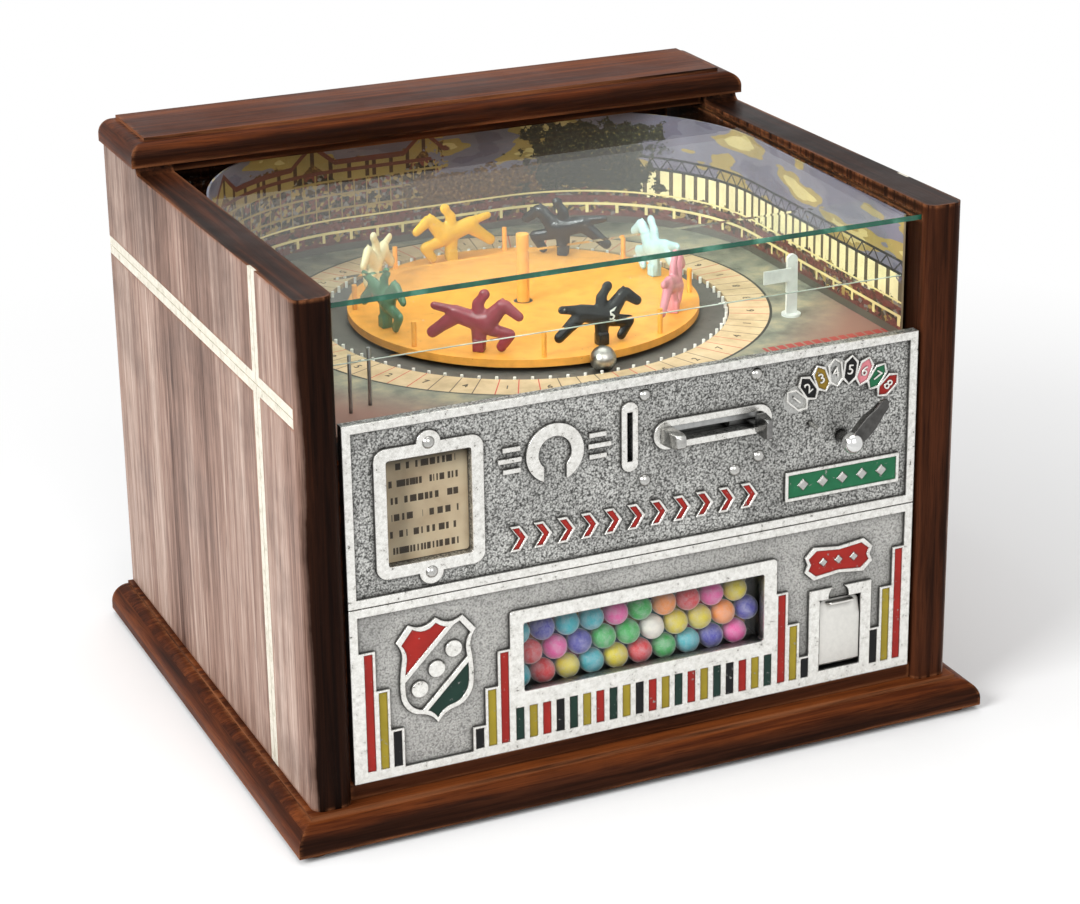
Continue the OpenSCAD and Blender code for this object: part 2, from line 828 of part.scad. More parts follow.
module shield_figures() {
    for (m = [-1, 1]) shield_band(m * band_half - ridge_w / 2, m * band_half + ridge_w / 2);
    translate([shield_x, z_lower + shield_z + 1]) rotate(45)
        for (k = [-1, 0, 1]) translate([k * 3 * stud_r, 0]) circle(stud_r);
}

price_w = 39;
price_h = 18;
price_z = 67.5;
price_half = [[0, 0.8], [0.74, 1], [1, 0.45], [0.92, 0], [1, -0.45], [0.74, -1], [0, -0.8]];
module price_plaque(inset) {
    w = price_w / 2 - inset;
    h = price_h / 2 - inset;
    translate([door_x - 1.5, z_lower + price_z]) polygon(concat(
        [for (q = price_half) [q[0] * w, q[1] * h]],
        [for (k = [5 : -1 : 1]) [-price_half[k][0] * w, price_half[k][1] * h]]));
}

module door_hole() {
    translate([door_x - door_w / 2, z_door]) square([door_w, door_h]);
}

module scallop() {
    translate([door_x - 1, z_door + door_h + 1]) circle(6);
}

module window_hole() {
    translate([window_x, z_lower + window_z]) round_rect(window_w, window_h, 1.5);
}

module lower_relief() {
    difference() {
        union() {
            frame_border(-panel_x, z_lower, panel_x, z_lower + lower_panel_h);
            translate([window_x, z_lower + window_z])
                round_rect(window_w + 2 * window_frame, window_h + 2 * window_frame, 2);
            translate([door_x - door_w / 2 - door_frame, z_lower + border_w])
                square([door_w + 2 * door_frame, door_z - border_w + door_h + door_frame]);
            shield_outline(0);
            price_plaque(0);
            translate([window_left, z_lower])
                square([window_right - window_left, window_z - window_h / 2]);
            stair_plateau();
        }
        window_hole();
        door_hole();
        scallop();
        difference() {
            shield_outline(shield_rim);
            shield_figures();
        }
        price_plaque(2);
        for (k = [0 : 2]) stair_bars(k, 0);
        row_bars("", 0);
    }
}

hinge_lug = 4;
module lower_front_panel() {
    color(cast) difference() {
        union() {
            facing(y_face, panel_t) difference() {
                translate([-panel_x, z_lower]) square([2 * panel_x, lower_panel_h]);
                window_hole();
                door_hole();
            }
            facing(y_face - relief_h, relief_h) lower_relief();
            for (s = [-1, 1]) translate([door_x + s * (door_w / 2 + hinge_lug / 2), 0, hinge_z])
                between([-hinge_lug / 2, y_back - 1, -hinge_r], [hinge_lug / 2, hinge_y + hinge_r, hinge_r]);
        }
        translate([door_x - door_w / 2 - hinge_lug - 1, hinge_y, hinge_z]) rotate([0, 90, 0])
            cylinder(r = hinge_pin_r, h = door_w + 2 * hinge_lug + 2);
    }
}

module enamel_red() {
    color(red) facing(y_face - enamel_t, enamel_t) {
        stair_bars(0, 0);
        row_bars("r", 0);
        price_plaque(2);
        for (k = [6, 8]) plate_shape(k, 0.9);
        chevrons(chevron_rim);
        intersection() {
            shield_outline(shield_rim);
            shield_band(band_half + ridge_w / 2, shield_h);
        }
    }
}

module enamel_yellow() {
    color(yellow) facing(y_face - enamel_t, enamel_t) {
        stair_bars(1, 0);
        row_bars("y", 0);
        plate_shape(3, 0.9);
    }
}

module enamel_black() {
    color(black) facing(y_face - enamel_t, enamel_t) {
        stair_bars(2, 0);
        row_bars("k", 0);
        for (k = [2, 5]) plate_shape(k, 0.9);
    }
}

module enamel_green() {
    color(green) facing(y_face - enamel_t, enamel_t) {
        row_bars("g", 0);
        dial_plaque(plaque_rim);
        plate_shape(7, 0.9);
        intersection() {
            shield_outline(shield_rim);
            shield_band(-shield_h, -band_half - ridge_w / 2);
        }
    }
}

// Lever, rack and guide
finger_reach = 15;
finger_w = 6.5;
module finger_post() {
    x = slot_x - slot_l / 2;
    y = y_face - relief_h;
    color(steel) {
        intersection() {
            facing(y - 2, panel_t + relief_h + 2) slot_shape(0);
            between([x - 1, y - 3, z_slot - slot_h], [x + finger_w, y_back + 1, z_slot + slot_h]);
        }
        translate([0, 0, z_slot - slot_h / 2]) linear_extrude(slot_h)
            limb([x + finger_w / 2, y - finger_w / 2 - 0.3],
                 [x + finger_w / 2 + 2, y_face - finger_reach + finger_w / 2], finger_w / 2);
    }
}

shank_h = 2.2;
z_shank = z_slot - slot_h / 2 + shank_h / 2 + 2 * slide_fit;
lever_t = 4.5;
lever_reach = 16;
tab_h = 11;
module play_lever() {
    color(steel) {
        between([lever_x - lever_t / 2, y_face - relief_h - 4, z_shank - shank_h / 2],
                [lever_x + lever_t / 2, rack_front, z_shank + shank_h / 2]);
        translate([lever_x - lever_t / 2, 0, 0]) lengthwise(0, lever_t)
            limb([y_face - relief_h - 2 - tab_h / 2, z_slot], [y_face - lever_reach + tab_h / 2, z_slot - 1],
                 tab_h / 2);
    }
}

function rack_tooth(x) = let(
    half = pitch_len / 4 - backlash / 2,
    rise = tooth_m * tan(20),
    foot = dedendum * tan(20))
    [[x - half - foot, -dedendum], [x - half + rise, tooth_m],
     [x + half - rise, tooth_m], [x + half + foot, -dedendum]];

module lever_rack() {
    teeth = floor((rack_x1 - rack_x0) / pitch_len);
    first = idler_x + pitch_len / 2 - floor((idler_x - rack_x0) / pitch_len) * pitch_len;
    xs = [for (k = [0 : teeth - 1]) let(x = first + k * pitch_len) if (x + pitch_len / 2 < rack_x1) x];
    color(brass) {
        between([rack_x0, rack_front, z_slot - rack_h / 2],
                [rack_x1, rack_front + rack_body, z_slot + rack_h / 2]);
        translate([0, rack_pitch_y, z_gear]) linear_extrude(gear_t)
            polygon(concat([[rack_x0, -dedendum - 1], [rack_x0, -dedendum]],
                           [for (x = xs) each rack_tooth(x)],
                           [[rack_x1, -dedendum], [rack_x1, -dedendum - 1]]));
    }
}

module rack_guide() {
    x0 = min(rack_x0, lever_x - lever_t) - lever_travel - 2;
    z = rack_h / 2 + slide_fit;
    x1 = anchor_x + guide_end;
    color(steel) {
        for (s = [0, 1]) translate([0, 0, z_slot]) mirror([0, 0, s]) {
            between([x0, y_back, z], [x1, y_back + guide_d, z + guide_bar]);
            between([x0, y_back + guide_d - guide_lip, z - guide_lip], [x1, y_back + guide_d, z + 0.5]);
        }
        between([anchor_x, y_back, z_slot - z - 1], [x1, y_back + guide_d, z_slot + z + 1]);
        difference() {
            between([x0, y_back, z_slot - z - 1], [anchor_x + 1, y_back + face_t, z_slot + z + 1]);
            between([lever_x - lever_travel - lever_t / 2 - 1, y_back - 1, z_shank - shank_h / 2 - slide_fit],
                    [lever_x + lever_t / 2 + 1, y_back + face_t + 1, z_shank + shank_h / 2 + slide_fit]);
        }
    }
}

module return_spring() {
    color(steel) translate([rack_x1, rack_front + rack_body / 2, z_slot]) rotate([0, 90, 0]) difference() {
        cylinder(r = rack_body / 2, h = spring_l);
        translate([0, 0, -1]) cylinder(r = rack_body / 2 - 0.8, h = spring_l + 2);
    }
}

// Pointer: a shaft with its collar, a ball end and a tapering arm, set on the last number plate
pointer_turn = 3.5 * dial_pitch;
pointer_lift = 12;
module pointer() {
    y_ball = y_face - pointer_lift;
    color(steel) translate([dial_x, 0, z_upper + dial_z]) {
        rod_y(pointer_shaft_r, y_ball, y_back + 8);
        rod_y(pointer_shaft_r + 2.5, y_back + 0.3, y_back + 5.3);
        translate([0, y_ball, 0]) rotate([0, 0, 180]) sphere(pointer_ball_r);
        rotate([0, pointer_turn, 0]) facing(y_ball - 1.7, 3.4) limb([0, 0], [0, pointer_l - 3.2], 3.2);
    }
}

// Gum door, hung on its pin at the foot of its opening
module gum_door() {
    w = door_w - 2 * slide_fit;
    y = y_face - 1;
    color(cast) translate([door_x - w / 2, 0, 0]) {
        difference() {
            union() {
                translate([0, hinge_y, hinge_z]) rotate([0, 90, 0]) cylinder(r = hinge_r, h = w);
                between([0, y, hinge_z - 0.5], [w, y + door_t, z_door + door_h - slide_fit]);
                between([0, y, hinge_z - 0.5], [w, hinge_y, hinge_z + hinge_r]);
                between([w * 0.18, y - 3.5, z_door + door_h - 3.4], [w * 0.82, y, z_door + door_h - 0.8]);
            }
            translate([-1, hinge_y, hinge_z]) rotate([0, 90, 0])
                cylinder(r = hinge_pin_r + run_fit, h = w + 2);
        }
    }
}

module gum_hopper() {
    color(steel) difference() {
        union() {
            between([hopper_x0, y_hopper, hopper_z0], [hopper_x1, y_hopper_rear, hopper_z0 + sheet_t]);
            between([hopper_x0, y_hopper_rear - sheet_t, hopper_z0],
                    [hopper_x1, y_hopper_rear, hopper_z0 + hopper_h]);
            for (x = [hopper_x0, hopper_x1 - sheet_t])
                between([x, y_back, hopper_z0], [x + sheet_t, y_hopper_rear, hopper_z0 + hopper_h]);
        }
        between([idler_x - pocket_r, y_hopper_rear - 3, hopper_z0 + sheet_t],
                [idler_x + pocket_r, y_hopper_rear + 1, hopper_z0 + sheet_t + gum_d + 2]);
    }
}

module gum_balls() {
    x0 = hopper_x0 + sheet_t + (hopper_x1 - hopper_x0 - 2 * sheet_t - (gum_count + 0.5) * gum_pitch) / 2;
    color(pink) for (layer = [0, 1], row = [0 : 2], k = [0 : gum_count - 1])
        translate([x0 + (k + 0.5 + 0.5 * ((row + layer) % 2)) * gum_pitch,
                   y_hopper + 0.3 + gum_d / 2 + layer * gum_pitch,
                   hopper_z0 + sheet_t + 0.2 + gum_d / 2 + row * gum_pitch * 0.88])
            sphere(d = gum_d);
}

module gum_wheel() {
    color(cast) translate([idler_x, idler_y, wheel_z0]) difference() {
        cylinder(r = gum_wheel_r, h = wheel_t);
        rotate(pocket_turn) translate([pocket_ring_r, 0, -1]) cylinder(r = pocket_r, h = wheel_t + 2);
        translate([0, 0, -1]) cylinder(r = idler_shaft_r, h = wheel_t + 2);
    }
}

// The table that holds a ball in the wheel's pocket, with the hole it drops through
module gum_table() {
    p = [idler_x + pocket_ring_r * cos(pocket_turn), idler_y + pocket_ring_r * sin(pocket_turn)];
    difference() {
        between([idler_x - table_reach, y_hopper_rear + end_play, table_z0],
                [cup_x1, cup_y1, table_z0 + sheet_t]);
        translate([p[0], p[1], table_z0 - 1]) cylinder(r = pocket_r, h = sheet_t + 2);
    }
}

module gum_cup() {
    color(steel) gum_table();
    color(steel) difference() {
        union() {
            between([cup_x0, y_back, cup_z0], [cup_x1, cup_y1, table_z0]);
            between([door_x - door_w / 2 - 1, y_back, cup_z0],
                    [cup_x1, y_hopper_rear, z_door + door_h - 1]);
        }
        between([cup_x0 + sheet_t, y_back + hinge_r + 1.5, cup_z0 + sheet_t],
                [cup_x1 - sheet_t, cup_y1 - sheet_t, table_z0 + 1]);
        between([door_x - door_w / 2 - 1 + sheet_t, y_back - 1, cup_z0 + sheet_t],
                [cup_x1 - sheet_t, y_hopper_rear - sheet_t, z_door + door_h]);
        between([door_x - door_w / 2 - hinge_lug - 1, y_back - 1, cup_z0 - 1],
                [cup_x1 + 1, hinge_y + hinge_r + 0.5, hinge_z + hinge_r + 0.5]);
    }
}

// Coin chute and coin box
chute_w = coin_w + 1.4;
chute_y1 = y_back + coin_h + 1.5;
chute_drop = y_hopper_rear + 2;
chute_top = z_upper + coin_z + coin_h / 2 + 2;
chute_bend = hopper_z0 + hopper_h + 6;
z_coin_box = z_base + coin_box_h;
module chute_outline(e) {
    run = chute_drop - y_back;
    polygon([[y_back + e, chute_top - e], [y_back + e, chute_bend + run * 0.8], [chute_drop + e, chute_bend],
             [chute_drop + e, z_coin_box - 4], [chute_y1 + run - e, z_coin_box - 4],
             [chute_y1 + run - e, chute_bend], [chute_y1 - e, chute_bend + run * 0.8],
             [chute_y1 - e, chute_top - e]]);
}

module coin_chute() {
    color(steel) difference() {
        lengthwise(coin_x - chute_w / 2 - 1, chute_w + 2) chute_outline(0);
        lengthwise(coin_x - chute_w / 2, chute_w) chute_outline(1);
        between([coin_x - chute_w / 2, chute_drop + 1, z_coin_box - 5],
                [coin_x + chute_w / 2, chute_y1 + chute_drop - y_back - 1, z_coin_box - 3]);
        facing(y_back - 1, 3) coin_hole();
    }
}

module coin_box() {
    x0 = coin_x + chute_w / 2 + 8 - coin_box_w;
    y0 = chute_drop - 2;
    color(steel) difference() {
        between([x0, y0, z_base], [x0 + coin_box_w, y0 + coin_box_d, z_coin_box]);
        between([x0 + sheet_t, y0 + sheet_t, z_base + sheet_t],
                [x0 + coin_box_w - sheet_t, y0 + coin_box_d - sheet_t, z_coin_box + 1]);
    }
}

// Gear teeth: involute flanks with the chosen play
function involute_point(rb, roll, turn, side) = let(a = side * (roll * 180 / PI - atan(roll)) + turn)
    rb * sqrt(1 + roll * roll) * [cos(a), sin(a)];

function gear_points(n, phase) = let(
    rp = tooth_m * n / 2,
    rb = rp * cos(20),
    tip = sqrt(pow((rp + tooth_m) / rb, 2) - 1),
    root = rp - dedendum,
    start = root > rb ? sqrt(pow(root / rb, 2) - 1) : 0,
    half = 90 / n - backlash / rp * 45 / PI + tan(20) * 180 / PI - 20)
    [for (k = [0 : n - 1]) let(t = phase + k * 360 / n) each concat(
        [root * [cos(t - half), sin(t - half)]],
        [for (i = [0 : 3]) involute_point(rb, start + (tip - start) * i / 3, t - half, 1)],
        [for (i = [3 : -1 : 0]) involute_point(rb, start + (tip - start) * i / 3, t + half, -1)],
        [root * [cos(t + half), sin(t + half)]])];

module mechanism_plate() {
    color(steel) difference() {
        between([-x_in, idler_y - idler_r + 20, z_mech - mech_t], [x_in, y_shelf_rear - 60, z_mech]);
        translate([0, 0, z_mech - mech_t - 1]) cylinder(r = bush_r, h = mech_t + 2);
        translate([idler_x, idler_y, z_mech - mech_t - 1]) cylinder(r = bush_r, h = mech_t + 2);
    }
}

bush_r = 8;
flange_r = 11;
flange_t = 1.5;
module bush(bore, z0, l) {
    difference() {
        union() {
            translate([0, 0, z0]) cylinder(r = bush_r, h = l);
            translate([0, 0, z0 + l]) cylinder(r = flange_r, h = flange_t);
        }
        translate([0, 0, z0 - 1]) cylinder(r = bore + run_fit, h = l + flange_t + 2);
    }
}

// Bushes: two for the spindle, one for the idler shaft, and its foot bearing on the base board
foot_bearing_h = 22;
module shaft_bushes() {
    color(brass) {
        bush(spindle_r, z_mech - mech_t, mech_t);
        bush(spindle_r, z_board - board_t, board_t);
        translate([idler_x, idler_y, 0]) bush(idler_shaft_r, z_mech - mech_t, mech_t);
        translate([idler_x, idler_y, z_base]) difference() {
            cylinder(r = flange_r, h = foot_bearing_h);
            translate([0, 0, foot_bearing_h - foot_bore])
                cylinder(r = idler_shaft_r + run_fit, h = foot_bore + 1);
        }
    }
}

module idler_shaft() {
    z0 = z_base + foot_bearing_h - foot_bore + end_play;
    z_collar = z_mech + flange_t + end_play;
    color(steel) translate([idler_x, idler_y, 0]) {
        translate([0, 0, z0]) cylinder(r = idler_shaft_r, h = z_gear + gear_t + 2 - z0);
        translate([0, 0, z_collar]) cylinder(r = idler_shaft_r + 4, h = z_gear - z_collar);
    }
}

module idler_gear() {
    color(brass) translate([idler_x, idler_y, z_gear]) difference() {
        linear_extrude(gear_t) polygon(gear_points(idler_n, idler_phase));
        translate([0, 0, -1]) cylinder(r = idler_shaft_r, h = gear_t + 2);
        for (k = [0 : 5]) rotate(k * 60 + 30) translate([idler_r * 0.55, 0, -1])
            cylinder(r = idler_r * 0.2, h = gear_t + 2);
    }
}

ratchet_n = 12;
module spindle_pinion() {
    color(brass) translate([0, 0, z_gear]) difference() {
        union() {
            linear_extrude(gear_t) polygon(gear_points(pinion_n, pinion_phase));
            translate([0, 0, gear_t]) linear_extrude(ratchet_t)
                polygon([for (k = [0 : ratchet_n - 1]) each let(a = k * 360 / ratchet_n)
                    [ratchet_r * [cos(a), sin(a)], (ratchet_r - 2.5) * [cos(a + 4), sin(a + 4)]]]);
        }
        translate([0, 0, -1]) cylinder(r = spindle_r + run_fit, h = gear_t + ratchet_t + 2);
    }
}

pawl_r = 16;
pawl_plate_t = 2.5;
z_pawl = z_gear + gear_t + ratchet_t + slide_fit;
module drive_pawl() {
    color(steel) {
        translate([0, 0, z_pawl]) difference() {
            cylinder(r = pawl_r, h = pawl_plate_t);
            translate([0, 0, -1]) cylinder(r = spindle_r, h = pawl_plate_t + 2);
        }
        between([ratchet_r + 1, -2, z_pawl - ratchet_t + 0.4], [ratchet_r + 3, 3.5, z_pawl + 0.4]);
    }
}

hub_r = 16;
module spindle() {
    z0 = z_mech - mech_t;
    color(steel) {
        translate([0, 0, z0]) cylinder(r = spindle_r, h = z_track - z0);
        translate([0, 0, z_mech + flange_t + 0.3])
            cylinder(r = spindle_r + 3, h = z_gear - z_mech - flange_t - 0.6);
        translate([0, 0, z_board + flange_t + 0.3]) cylinder(r = hub_r, h = disc_lift - flange_t - 0.3);
    }
}

module playfield_board() {
    color([0.3, 0.3, 0.3]) difference() {
        between([-x_in, y_board_front, z_board - board_t], [x_in, y_shelf_rear, z_board]);
        translate([0, 0, z_board - board_t - 1]) cylinder(r = bush_r, h = board_t + 2);
        between([coin_x - chute_w / 2 - 1.5, y_board_front - 1, z_board - board_t - 1],
                [coin_x + chute_w / 2 + 1.5, chute_y1 + 0.5, chute_top + 0.5]);
    }
}

module playfield_card() {
    color([0.55, 0.58, 0.52]) translate([0, 0, z_board]) linear_extrude(print_t) difference() {
        translate([-x_in, y_board_front]) square([2 * x_in, y_shelf_rear - y_board_front]);
        circle(print_r);
    }
}

module track_pins() {
    color(cast) for (k = [0 : pin_count - 1]) rotate((k + 0.5) * 360 / pin_count)
        translate([pin_ring_r, 0, z_board]) cylinder(r = pin_r, h = pin_h);
}

module turntable() {
    color(orange) translate([0, 0, z_disc]) difference() {
        cylinder(r = disc_r, h = disc_t, $fn = 120);
        translate([0, 0, -1]) cylinder(r = spindle_r, h = disc_t + 2);
    }
}

module turntable_posts() {
    color(orange) {
        translate([0, 0, z_track]) cylinder(r = centre_r, h = centre_h);
        for (k = [0 : 7]) rotate(horse_turn + 22.5 + k * 45)
            translate([post_ring_r, 0, z_track]) cylinder(r = post_r, h = post_h);
    }
}

// A galloping horse and jockey on its peg, drawn 50 long
module horse_layer(t, parts) {
    s = horse_l / 50;
    translate([0, t / 2, 0]) rotate([90, 0, 0]) linear_extrude(t)
        for (p = parts) limb([p[0], p[1]] * s, [p[2], p[3]] * s, p[4] * s);
}

module horse() {
    horse_layer(horse_t, [[-15.5, 18, 2, 16.8, 5], [4, 17, 12, 24, 3.8], [0, 14, 0, 3.5, 3.4]]);
    horse_layer(horse_t * 0.8, [[0.4, 17, 3.4, 28.8, 3], [12.6, 24.4, 21, 19.4, 2.8]]);
    horse_layer(horse_t * 0.7, [[-16, 15.5, -24, 6.8, 2.9], [6, 11.5, 16.6, 8.8, 2.4],
                                [16.6, 8.8, 10.6, 2.6, 2.2], [-16, 20.5, -23, 20.7, 2.1]]);
    between([-2.8, -horse_t * 0.45, 0] * horse_l / 50, [2.8, horse_t * 0.45, 6] * horse_l / 50);
}

horse_order = [8, 5, 6, 4, 2, 3, 1, 7];
horse_colours = [cream, black, yellow, [0.72, 0.84, 0.84], black, pink, [0.35, 0.5, 0.38], [0.45, 0.2, 0.22]];
module placed_horse(n) {
    k = search(n, horse_order)[0];
    color(horse_colours[n - 1]) rotate(horse_turn + k * 45)
        translate([horse_r, 0, z_track]) rotate(90) horse();
}

module horse_1() {
    placed_horse(1);
}

module horse_2() {
    placed_horse(2);
}

module horse_3() {
    placed_horse(3);
}

module horse_4() {
    placed_horse(4);
}

module horse_5() {
    placed_horse(5);
}

module horse_6() {
    placed_horse(6);
}

module horse_7() {
    placed_horse(7);
}

module horse_8() {
    placed_horse(8);
}

module ball() {
    color(cast) rotate(ball_turn) translate([path_r, 0, z_board + ball_r + 0.2]) sphere(ball_r);
}

module top_glass() {
    x = x_in + glass_groove - 0.3;
    color(clear) between([-x, y_face + 3, z_glass - glass_t], [x, y_shelf_rear, z_glass]);
}

strip_x = backdrop_x - backdrop_t - 0.3;
strip_t = 2.4;
module inner_glass() {
    y = y_front + strip_y;
    z = z_base + strip_z;
    l = (z_glass - glass_t - 0.3 - z) / cos(strip_lean);
    color(clear) translate([-strip_x, y, z]) rotate([-strip_lean, 0, 0]) cube([2 * strip_x, strip_t, l]);
}

wire_r = 0.9;
wire_h = 29;
module gate_wires() {
    color(steel) for (p = [[18.5, -104], [30.5, -98]])
        translate([p[0] - backdrop_x, p[1], z_print]) cylinder(r = wire_r, h = wire_h);
}

finish_x = backdrop_x - 33;
finish_y = -70;
finish_h = 33;
module finish_post() {
    color(steel) translate([finish_x, finish_y, z_print]) {
        translate([-3, -0.9, 0]) cube([6, 1.8, finish_h - 3]);
        translate([0, 0.9, finish_h - 3]) rotate([90, 0, 0]) cylinder(r = 3, h = 1.8);
        cylinder(r = 5, h = 1.2);
        translate([-17, -1.7, finish_h - 14]) cube([16, 0.8, 7]);
    }
}

module backdrop_plan(inset) {
    x = backdrop_x - inset;
    r = backdrop_r - inset;
    y1 = backdrop_rear - inset;
    translate([-x, backdrop_front - 1]) square([2 * x, y1 - r - backdrop_front + 1]);
    translate([-x + r, backdrop_front - 1]) square([2 * (x - r), y1 - backdrop_front + 1]);
    for (s = [-1, 1]) translate([s * (x - r), y1 - r]) circle(r, $fn = 120);
}

module backdrop() {
    color(cream) translate([0, 0, z_print]) linear_extrude(z_glass - glass_t - 0.3 - z_print) difference() {
        backdrop_plan(0);
        backdrop_plan(backdrop_t);
        translate([-x_in, backdrop_front - 3]) square([2 * x_in, 3]);
    }
}

module rear_door() {
    z0 = z_base + 1.2;
    z1 = z_rail - 1.2;
    color(wood) difference() {
        union() {
            between([pivot_x, rear_y0, z0], [x_in - 2, rear_y0 + rear_t, z1]);
            translate([pivot_x, rear_mid, z0]) cylinder(r = rear_t / 2, h = z1 - z0);
        }
        translate([pivot_x, rear_mid, z0 - 1]) cylinder(r = pivot_r + run_fit, h = 13);
        translate([pivot_x, rear_mid, z1 - 12]) cylinder(r = pivot_r + run_fit, h = 13);
        translate([lock_x, 0, lock_z]) rod_y(lock_r + run_fit, rear_y0 - 1, rear_y0 + rear_t + 1);
    }
}

// Pins of the two doors: one through the gum door, two at the rear door's ends
module hinge_pins() {
    l = door_w + 2 * hinge_lug;
    color(steel) {
        translate([door_x - l / 2, hinge_y, hinge_z]) rotate([0, 90, 0]) cylinder(r = hinge_pin_r, h = l);
        translate([pivot_x, rear_mid, foot_h + base_t / 2]) cylinder(r = pivot_r, h = base_t / 2 + 11);
        translate([pivot_x, rear_mid, z_rail - 11]) cylinder(r = pivot_r, h = 11 + rail_t / 2);
    }
}

module door_lock() {
    color(steel) translate([lock_x, 0, lock_z]) difference() {
        union() {
            rod_y(lock_r, rear_y0 - cam_gap - cam_t, rear_y0 + rear_t);
            rod_y(lock_r + 2, rear_y0 + rear_t + 0.3, rear_y0 + rear_t + 2.3);
            rod_y(lock_r, rear_y0 + rear_t - 1, rear_y0 + rear_t + 2.3);
            between([-cam_w / 2, rear_y0 - cam_gap - cam_t, -cam_l], [cam_w / 2, rear_y0 - cam_gap, 0]);
        }
        between([-1, rear_y0 + rear_t - 4, -3.5], [1, rear_y0 + rear_t + 4, 3.5]);
    }
}

base_board();
base_feet();
side_panel_left();
side_panel_right();
side_inlays();
front_rail();
top_rail();
header_board();
battens();
upper_front_panel();
lower_front_panel();
panel_rivets();
instruction_card();
panel_panes();
enamel_red();
enamel_yellow();
enamel_black();
enamel_green();
finger_post();
play_lever();
lever_rack();
rack_guide();
return_spring();
pointer();
gum_door();
gum_hopper();
gum_balls();
gum_wheel();
gum_cup();
coin_chute();
coin_box();
mechanism_plate();
shaft_bushes();
idler_shaft();
idler_gear();
spindle_pinion();
drive_pawl();
spindle();
playfield_board();
playfield_card();
track_pins();
turntable();
turntable_posts();
horse_1();
horse_2();
horse_3();
horse_4();
horse_5();
horse_6();
horse_7();
horse_8();
ball();
top_glass();
inner_glass();
gate_wires();
finish_post();
backdrop();
rear_door();
hinge_pins();
door_lock();
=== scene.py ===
"""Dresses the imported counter-top horse-race game: finishes, print, figures, gum, controls and stage."""

import math
from functools import partial

import bpy
from mathutils import Matrix, Vector


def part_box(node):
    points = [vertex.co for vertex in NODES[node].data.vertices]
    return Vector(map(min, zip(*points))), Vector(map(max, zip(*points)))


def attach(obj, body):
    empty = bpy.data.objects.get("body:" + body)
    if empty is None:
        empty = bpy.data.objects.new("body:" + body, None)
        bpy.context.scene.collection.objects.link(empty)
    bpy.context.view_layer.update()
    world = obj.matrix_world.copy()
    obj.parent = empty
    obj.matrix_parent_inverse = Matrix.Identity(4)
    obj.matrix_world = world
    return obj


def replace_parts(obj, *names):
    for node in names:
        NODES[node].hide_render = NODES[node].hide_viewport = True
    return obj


bl_info = {
    "name": "Horse-race counter game",
    "version": (1, 0, 0),
    "blender": (4, 5, 0),
    "location": "View3D > Sidebar > Race game",
    "description": "Dresses the packed counter-top horse-race game and ball-gum vendor",
    "category": "Object",
}

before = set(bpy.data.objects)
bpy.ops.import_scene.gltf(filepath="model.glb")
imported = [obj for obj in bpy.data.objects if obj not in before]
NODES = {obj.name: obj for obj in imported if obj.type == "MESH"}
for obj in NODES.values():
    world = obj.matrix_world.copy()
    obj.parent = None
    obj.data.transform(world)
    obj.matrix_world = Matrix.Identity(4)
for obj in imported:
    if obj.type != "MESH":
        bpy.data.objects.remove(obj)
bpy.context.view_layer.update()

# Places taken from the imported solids, in metres
UPPER_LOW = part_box("upper_front_panel")[0]
LOWER_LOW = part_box("lower_front_panel")[0]
DISC_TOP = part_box("turntable")[1].z
CARD_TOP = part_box("playfield_card")[1].z
GLASS_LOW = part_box("top_glass")[0]
RELIEF_FACE = UPPER_LOW.y
RELIEF_HEIGHT = 0.0015
CAST_FACE = RELIEF_FACE + RELIEF_HEIGHT
DIAL_X = 0.1105
DIAL_Z = UPPER_LOW.z + 0.043
DIAL_RADIUS = 0.0345
DIAL_PITCH = math.radians(13.75)
PLATE_REACH = 0.0072
LEVER_SLOT_Z = UPPER_LOW.z + 0.060
NOTICE_X = -0.1105
NOTICE_FOOT = UPPER_LOW.z + 0.018
NOTICE_ROW = 0.0085
HORSE_ORDER = (8, 5, 6, 4, 2, 3, 1, 7)
HORSE_START = math.radians(-129.5)
HORSE_RADIUS = 0.080
HORSE_FULLNESS = 1.06
RING_RADIUS = 0.128
RING_NUMBER_RADIUS = 0.118
RING_NUMBERS = 36
RING_DIVISIONS = 2 * RING_NUMBERS

# The backdrop's bend, in millimetres
BACKDROP_RADIUS = 140.0

# Plaques of the front: middle across, height, studs to each side, their pitch and their size
PLAQUES = ((0.1115, UPPER_LOW.z + 0.0205, 2, 0.0112, 1.0), (0.1105, LOWER_LOW.z + 0.0675, 1, 0.0088,
                                                            0.78))

# The camera as fitted to the photograph: bearing, height and roll in degrees, place, and lens in pixels
CAMERA_TURNS = (-24.44, 20.22, -0.57)
CAMERA_PLACE = (-0.5607, -1.2936, 0.6791)
CAMERA_SHIFT = (-0.0294, -0.0636)
FOCAL_PIXELS = 2858
PHOTO_PIXELS = 1080
SENSOR_WIDTH = 36
LAMP_TARGET = (0, 0, 0.14)


def linear(code):
    """An sRGB hex colour as linear RGBA."""
    values = [int(code[i:i + 2], 16) / 255 for i in (0, 2, 4)]
    return tuple(v / 12.92 if v <= 0.04045 else ((v + 0.055) / 1.055) ** 2.4 for v in values) + (1.0,)


def feed(made, inputs):
    """Links a shader node's inputs or sets them, by name or in order, with colours as hex codes."""
    pairs = inputs.items() if isinstance(inputs, dict) else enumerate(inputs)
    for key, value in pairs:
        socket = made.inputs[key]
        if isinstance(value, bpy.types.NodeSocket):
            made.id_data.links.new(value, socket)
        else:
            socket.default_value = linear(value) if isinstance(value, str) else value


# What a Mix node needs to mix colours, with its inputs 0, 6 and 7
COLOURS = {"data_type": "RGBA", "out": 2}


def add_node(tree, kind, inputs=(), out=0, **settings):
    """Adds one shader node, its kind followed by any operation, and gives one of its outputs."""
    kind, *operation = kind.split()
    made = tree.nodes.new("ShaderNode" + kind)
    if operation:
        made.operation = operation[0]
    for key, value in settings.items():
        setattr(made, key, value)
    feed(made, inputs)
    return made.outputs[out]


